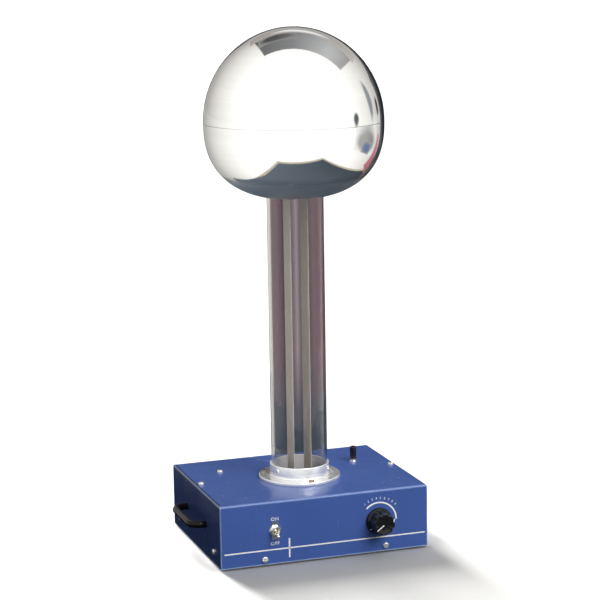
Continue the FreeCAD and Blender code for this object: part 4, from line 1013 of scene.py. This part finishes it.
def make_floor():
    """Pale floor: white with the object's shadow to the camera, plain white in reflections."""
    bpy.ops.mesh.primitive_plane_add(size=80.0, location=(0, 0, 0))
    floor = started("floor")
    tree = empty_tree(floor, "floor_white")
    rays = add(tree, "LightPath")
    place = add(tree, "TexCoord")
    way = add(tree, "VectorMath", operation="NORMALIZE")
    matt = add(tree, "BsdfDiffuse", {"Color": colour(0.80, 0.793, 0.77)})
    glow = add(tree, "Emission", {"Strength": FLOOR_LIFT})
    both = add(tree, "AddShader")
    bounce = add(tree, "Emission", {"Strength": FLOOR_BOUNCE})
    seen = add(tree, "MixShader")
    mirrored = add(tree, "Emission")
    shiny = add(tree, "Math", operation="MAXIMUM")
    choice = add(tree, "MixShader")
    out = add(tree, "OutputMaterial")
    join(tree, (place.outputs["Object"], way.inputs[0]),
         (facing_front(tree, way.outputs[0], colour(0.80, 0.79, 0.75), colour(1.28, 1.27, 1.25)),
          mirrored.inputs["Color"]),
         (matt.outputs[0], both.inputs[0]), (glow.outputs[0], both.inputs[1]),
         (rays.outputs["Is Diffuse Ray"], seen.inputs["Fac"]),
         (both.outputs[0], seen.inputs[1]), (bounce.outputs[0], seen.inputs[2]),
         (rays.outputs["Is Glossy Ray"], shiny.inputs[0]),
         (rays.outputs["Is Transmission Ray"], shiny.inputs[1]),
         (shiny.outputs[0], choice.inputs["Fac"]),
         (seen.outputs[0], choice.inputs[1]), (mirrored.outputs[0], choice.inputs[2]),
         (choice.outputs[0], out.inputs["Surface"]))
    return floor


def ahead(right, forward, up):
    """A point given from the camera's heading: to its right, away from it, and up."""
    turn = math.radians(CAMERA_TURN)
    return (right * math.cos(turn) + forward * math.sin(turn),
            forward * math.cos(turn) - right * math.sin(turn), up)


FADE_START = 0.6                 # of the way from a card's middle to its border


def card(name, size, at, turn, tones, sees=("glossy",), fade=None, across=1.0, soft=0.4,
         drawn_in=1.0):
    """A studio panel that only some rays see; its tones run along its width and may fade out."""
    bpy.ops.mesh.primitive_plane_add(size=1)
    panel = started(name)
    panel.scale = (*size, 1)
    settle(panel)
    edit(panel)
    pick("VERT", lambda v: v.co.y < 0)
    resize(drawn_in, 1)
    select_everything()
    bpy.ops.mesh.subdivide(number_cuts=23)
    leave_edit()
    add_card_material(panel, size, tones, fade, across, soft)
    settle(panel, at, turn)
    panel.visible_camera = False
    panel.visible_shadow = False
    panel.visible_glossy = "glossy" in sees
    panel.visible_diffuse = "diffuse" in sees
    panel.visible_transmission = "transmission" in sees
    return panel


def between(first, second, share):
    """A colour part of the way from one to another."""
    share = min(1.0, max(0.0, share))
    return [a + (b - a) * share for a, b in zip(first, second)]


def add_card_material(panel, size, tones, fade, across, soft):
    """Emission from a colour attribute: the tones in turn, then the fade round the border."""
    layer = panel.data.color_attributes.new("tone", "FLOAT_COLOR", "CORNER")
    for loop in panel.data.loops:
        place = panel.data.vertices[loop.vertex_index].co
        along = (place.x / size[0] + 0.5) * (len(tones) - 1)
        step = min(len(tones) - 2, max(0, int(along)))
        tone = between(tones[step], tones[step + 1], along - step)
        if fade:
            out = math.dist((0, 0), (2 * across * place.x / size[0], 2 * place.y / size[1]))
            tone = between(tone, fade, (out - FADE_START) / soft)
        layer.data[loop.index].color = tone
    tree = empty_tree(panel, panel.name)
    tone = add(tree, "VertexColor", layer_name="tone")
    glow = add(tree, "Emission")
    out = add(tree, "OutputMaterial")
    join(tree, (tone.outputs["Color"], glow.inputs["Color"]),
         (glow.outputs[0], out.inputs["Surface"]))


def clear_from_below(panel):
    """The panel keeps its tone from above and lets every ray through from below."""
    tree = panel.data.materials[0].node_tree
    side = add(tree, "NewGeometry")
    through = add(tree, "BsdfTransparent")
    choice = add(tree, "MixShader")
    join(tree, (side.outputs["Backfacing"], choice.inputs["Fac"]),
         (tree.nodes["Emission"].outputs[0], choice.inputs[1]),
         (through.outputs[0], choice.inputs[2]),
         (choice.outputs[0], tree.nodes["Material Output"].inputs["Surface"]))


def place_cards():
    """What the polished, painted and clear surfaces see round the object."""
    level = (0, 0, -CAMERA_TURN)
    upright = (90, 0, -CAMERA_TURN)
    card("table_card", (1.09, 1.46), ahead(0.13, 0.10, 0.002), level,
         [colour(0.150, 0.178, 0.215), colour(0.105, 0.130, 0.160), colour(0.060, 0.075, 0.092)],
         drawn_in=0.72)
    card("table_edge_card", (1.20, 1.60), ahead(0.13, 0.10, 0.001), level,
         [colour(0.60, 0.56, 0.44)] * 2, drawn_in=0.72)
    clear_from_below(card("housing_card", (0.52, 0.60), (-0.02, 0.16, 0.14), (0, 0, 0),
                          [colour(0.139, 0.166, 0.201), colour(0.099, 0.123, 0.151)]))
    card("back_floor_card", (1.3, 1.5), ahead(0.15, 1.53, 0.001), level, [grey(0.10), grey(0.04)],
         fade=grey(0.2))
    card("right_floor_card", (3.2, 1.2), (1.915, 1.90, 0.001), (0, 0, 34), [grey(0.10), grey(0.04)],
         fade=grey(0.16))
    card("room_card", (2.52, 1.35), ahead(0.59, 2.2, 0.62), upright,
         [grey(0.055, -0.2), grey(0.045, -0.2)], fade=grey(0.18))
    card("ceiling_card", (3.25, 1.80), ahead(0.535, 1.15, 2.5), level,
         [grey(0.15), grey(0.27, -0.03), grey(0.58, -0.02), grey(0.38)], drawn_in=0.88)
    card("dark_ceiling_card", (1.10, 1.00), ahead(-0.42, 1.52, 2.49), level,
         [grey(0.075), grey(0.11), grey(0.22)], fade=grey(0.33))
    card("pale_ceiling_card", (3.6, 1.6), ahead(0.535, 2.85, 2.5), level,
         [grey(0.50, 0.06), grey(0.60, 0.05)])
    card("white_ceiling_card", (1.7, 1.1), ahead(0.25, 2.75, 2.49), level,
         [grey(1.2)] * 2, fade=grey(0.60, 0.05))
    wall = (90, 0, -90)
    card("grey_curtain_card", (0.40, 1.10), (1.90, 0.20, 0.98), wall,
         [grey(0.32, -0.05), grey(0.36, -0.05)], fade=grey(0.95))
    card("dark_streak_card", (0.30, 0.42), (1.90, 0.78, 0.72), wall,
         [grey(0.05), grey(0.10)], fade=grey(0.85))
    card("dark_spot_card", (0.36, 0.44), (1.80, -0.85, 0.65), (90, 0, -115),
         [grey(0.10, -0.1), grey(0.16, -0.1)], fade=grey(1.2))
    card("pouch_card", (1.06, 0.54), (1.34, -0.14, 0.25), wall,
         [grey(0.20), grey(0.36), grey(0.46), grey(0.36)], fade=grey(1.0))
    card("blue_spot_card", (0.44, 0.26), (1.33, -0.06, 0.14), wall,
         [colour(0.17, 0.22, 0.36), colour(0.17, 0.26, 0.46)], fade=grey(0.40))
    card("pink_strip_card", (3.1, 0.32), (2.25, 1.05, 0.003), (0, 0, 26),
         [colour(0.62, 0.20, 0.26), colour(0.82, 0.40, 0.46)])
    # Painted shade: a near-black strip on the floor along the housing's left side, seen only in
    # reflections.
    card("left_painted_shade_card", (0.12, 0.64), (-0.213, 0.20, 0.004), (0, 0, 0),
         [grey(0.012)] * 2)
    curtain()


def curtain():
    """Soft upright bands behind the tower, seen only through its clear tube."""
    plum = colour(0.125, 0.060, 0.080)
    dark = colour(0.075, 0.050, 0.060)
    smoke = colour(0.145, 0.130, 0.134)
    pale = colour(0.400, 0.310, 0.360)
    crimson = colour(0.240, 0.060, 0.110)
    slate = colour(0.036, 0.062, 0.092)
    hung = {"turn": (90, 0, -CAMERA_TURN), "sees": ("transmission",), "fade": slate,
            "across": 0.0, "soft": 0.17}
    card("plum_curtain_card", (0.39, 1.06), ahead(0.105, 0.214, 0.54), tones=[plum] * 2, **hung)
    card("curtain_card", (0.092, 1.06), (0.064, 0.190, 0.54),
         tones=[smoke, plum, plum, dark, dark, smoke, smoke, smoke, pale, smoke, smoke, smoke,
                smoke, dark, smoke, plum, crimson], **hung)


def sun(name, towards, strength, spread):
    """A soft distant lamp that shines from a direction."""
    data = bpy.data.lights.new(name, "SUN")
    data.energy = strength
    data.angle = math.radians(spread)
    lamp = put_in(name, data)
    lamp.rotation_euler = Vector(towards).to_track_quat("Z", "Y").to_euler()
    return lamp


def make_world():
    """White to the camera, softer to matt surfaces; shiny ones see a bright front."""
    world = bpy.data.worlds.new("studio")
    bpy.context.scene.world = world
    world.use_nodes = True
    tree = world.node_tree
    tree.nodes.clear()
    rays = add(tree, "LightPath")
    place = add(tree, "TexCoord")
    white = add(tree, "Background", {"Color": colour(1, 1, 1)})
    front = add(tree, "Background")
    soft = add(tree, "Background")
    shiny = add(tree, "MixShader")
    mix = add(tree, "MixShader")
    out = add(tree, "OutputWorld")
    lit_side = add(tree, "VectorMath", {1: LIT_WAY}, operation="DOT_PRODUCT")
    share = add(tree, "MapRange", {"From Min": -0.3, "From Max": 0.7})
    join(tree, (facing_front(tree, place.outputs["Generated"], colour(0.72, 0.70, 0.66),
                             colour(1.30, 1.29, 1.27)), front.inputs["Color"]),
         (place.outputs["Generated"], lit_side.inputs[0]),
         (lit_side.outputs["Value"], share.inputs["Value"]),
         (mixed(tree, share.outputs[0], grey(0.02), grey(0.74)), soft.inputs["Color"]),
         (rays.outputs["Is Glossy Ray"], shiny.inputs["Fac"]),
         (white.outputs[0], shiny.inputs[1]), (front.outputs[0], shiny.inputs[2]),
         (rays.outputs["Is Diffuse Ray"], mix.inputs["Fac"]),
         (shiny.outputs[0], mix.inputs[1]), (soft.outputs[0], mix.inputs[2]),
         (mix.outputs[0], out.inputs["Surface"]))


def light_the_stage(floor):
    """A soft key for the object, and a tall strip of lamps behind it for the floor alone."""
    bpy.context.scene.view_settings.view_transform = "Standard"
    key = sun("key_lamp", KEY_WAY, KEY_STRENGTH, KEY_SPREAD)
    not_floor = bpy.data.collections.new("not_floor")
    not_floor.objects.link(floor)
    key.light_linking.receiver_collection = not_floor
    not_floor.collection_objects[0].light_linking.link_state = "EXCLUDE"
    only_floor = bpy.data.collections.new("floor_only")
    only_floor.objects.link(floor)
    for height in BACK_HEIGHTS:
        rise = math.radians(height)
        lamp = sun("floor_lamp", (BACK_SIDE * math.cos(rise), math.cos(rise), math.sin(rise)),
                   BACK_STRENGTH / math.sin(rise), BACK_SPREAD)
        lamp.light_linking.receiver_collection = only_floor
    make_world()


make_materials()
dress_frame()
housing_shell()
carrying_bar("left")
carrying_bar("right")
tower_collar()
tower_tube()
dome_base()
dome_cap()
charging_belt()
speed_knob()
switch_bat()
terminal_head()
front_printing()
make_camera()
place_cards()
light_the_stage(make_floor())
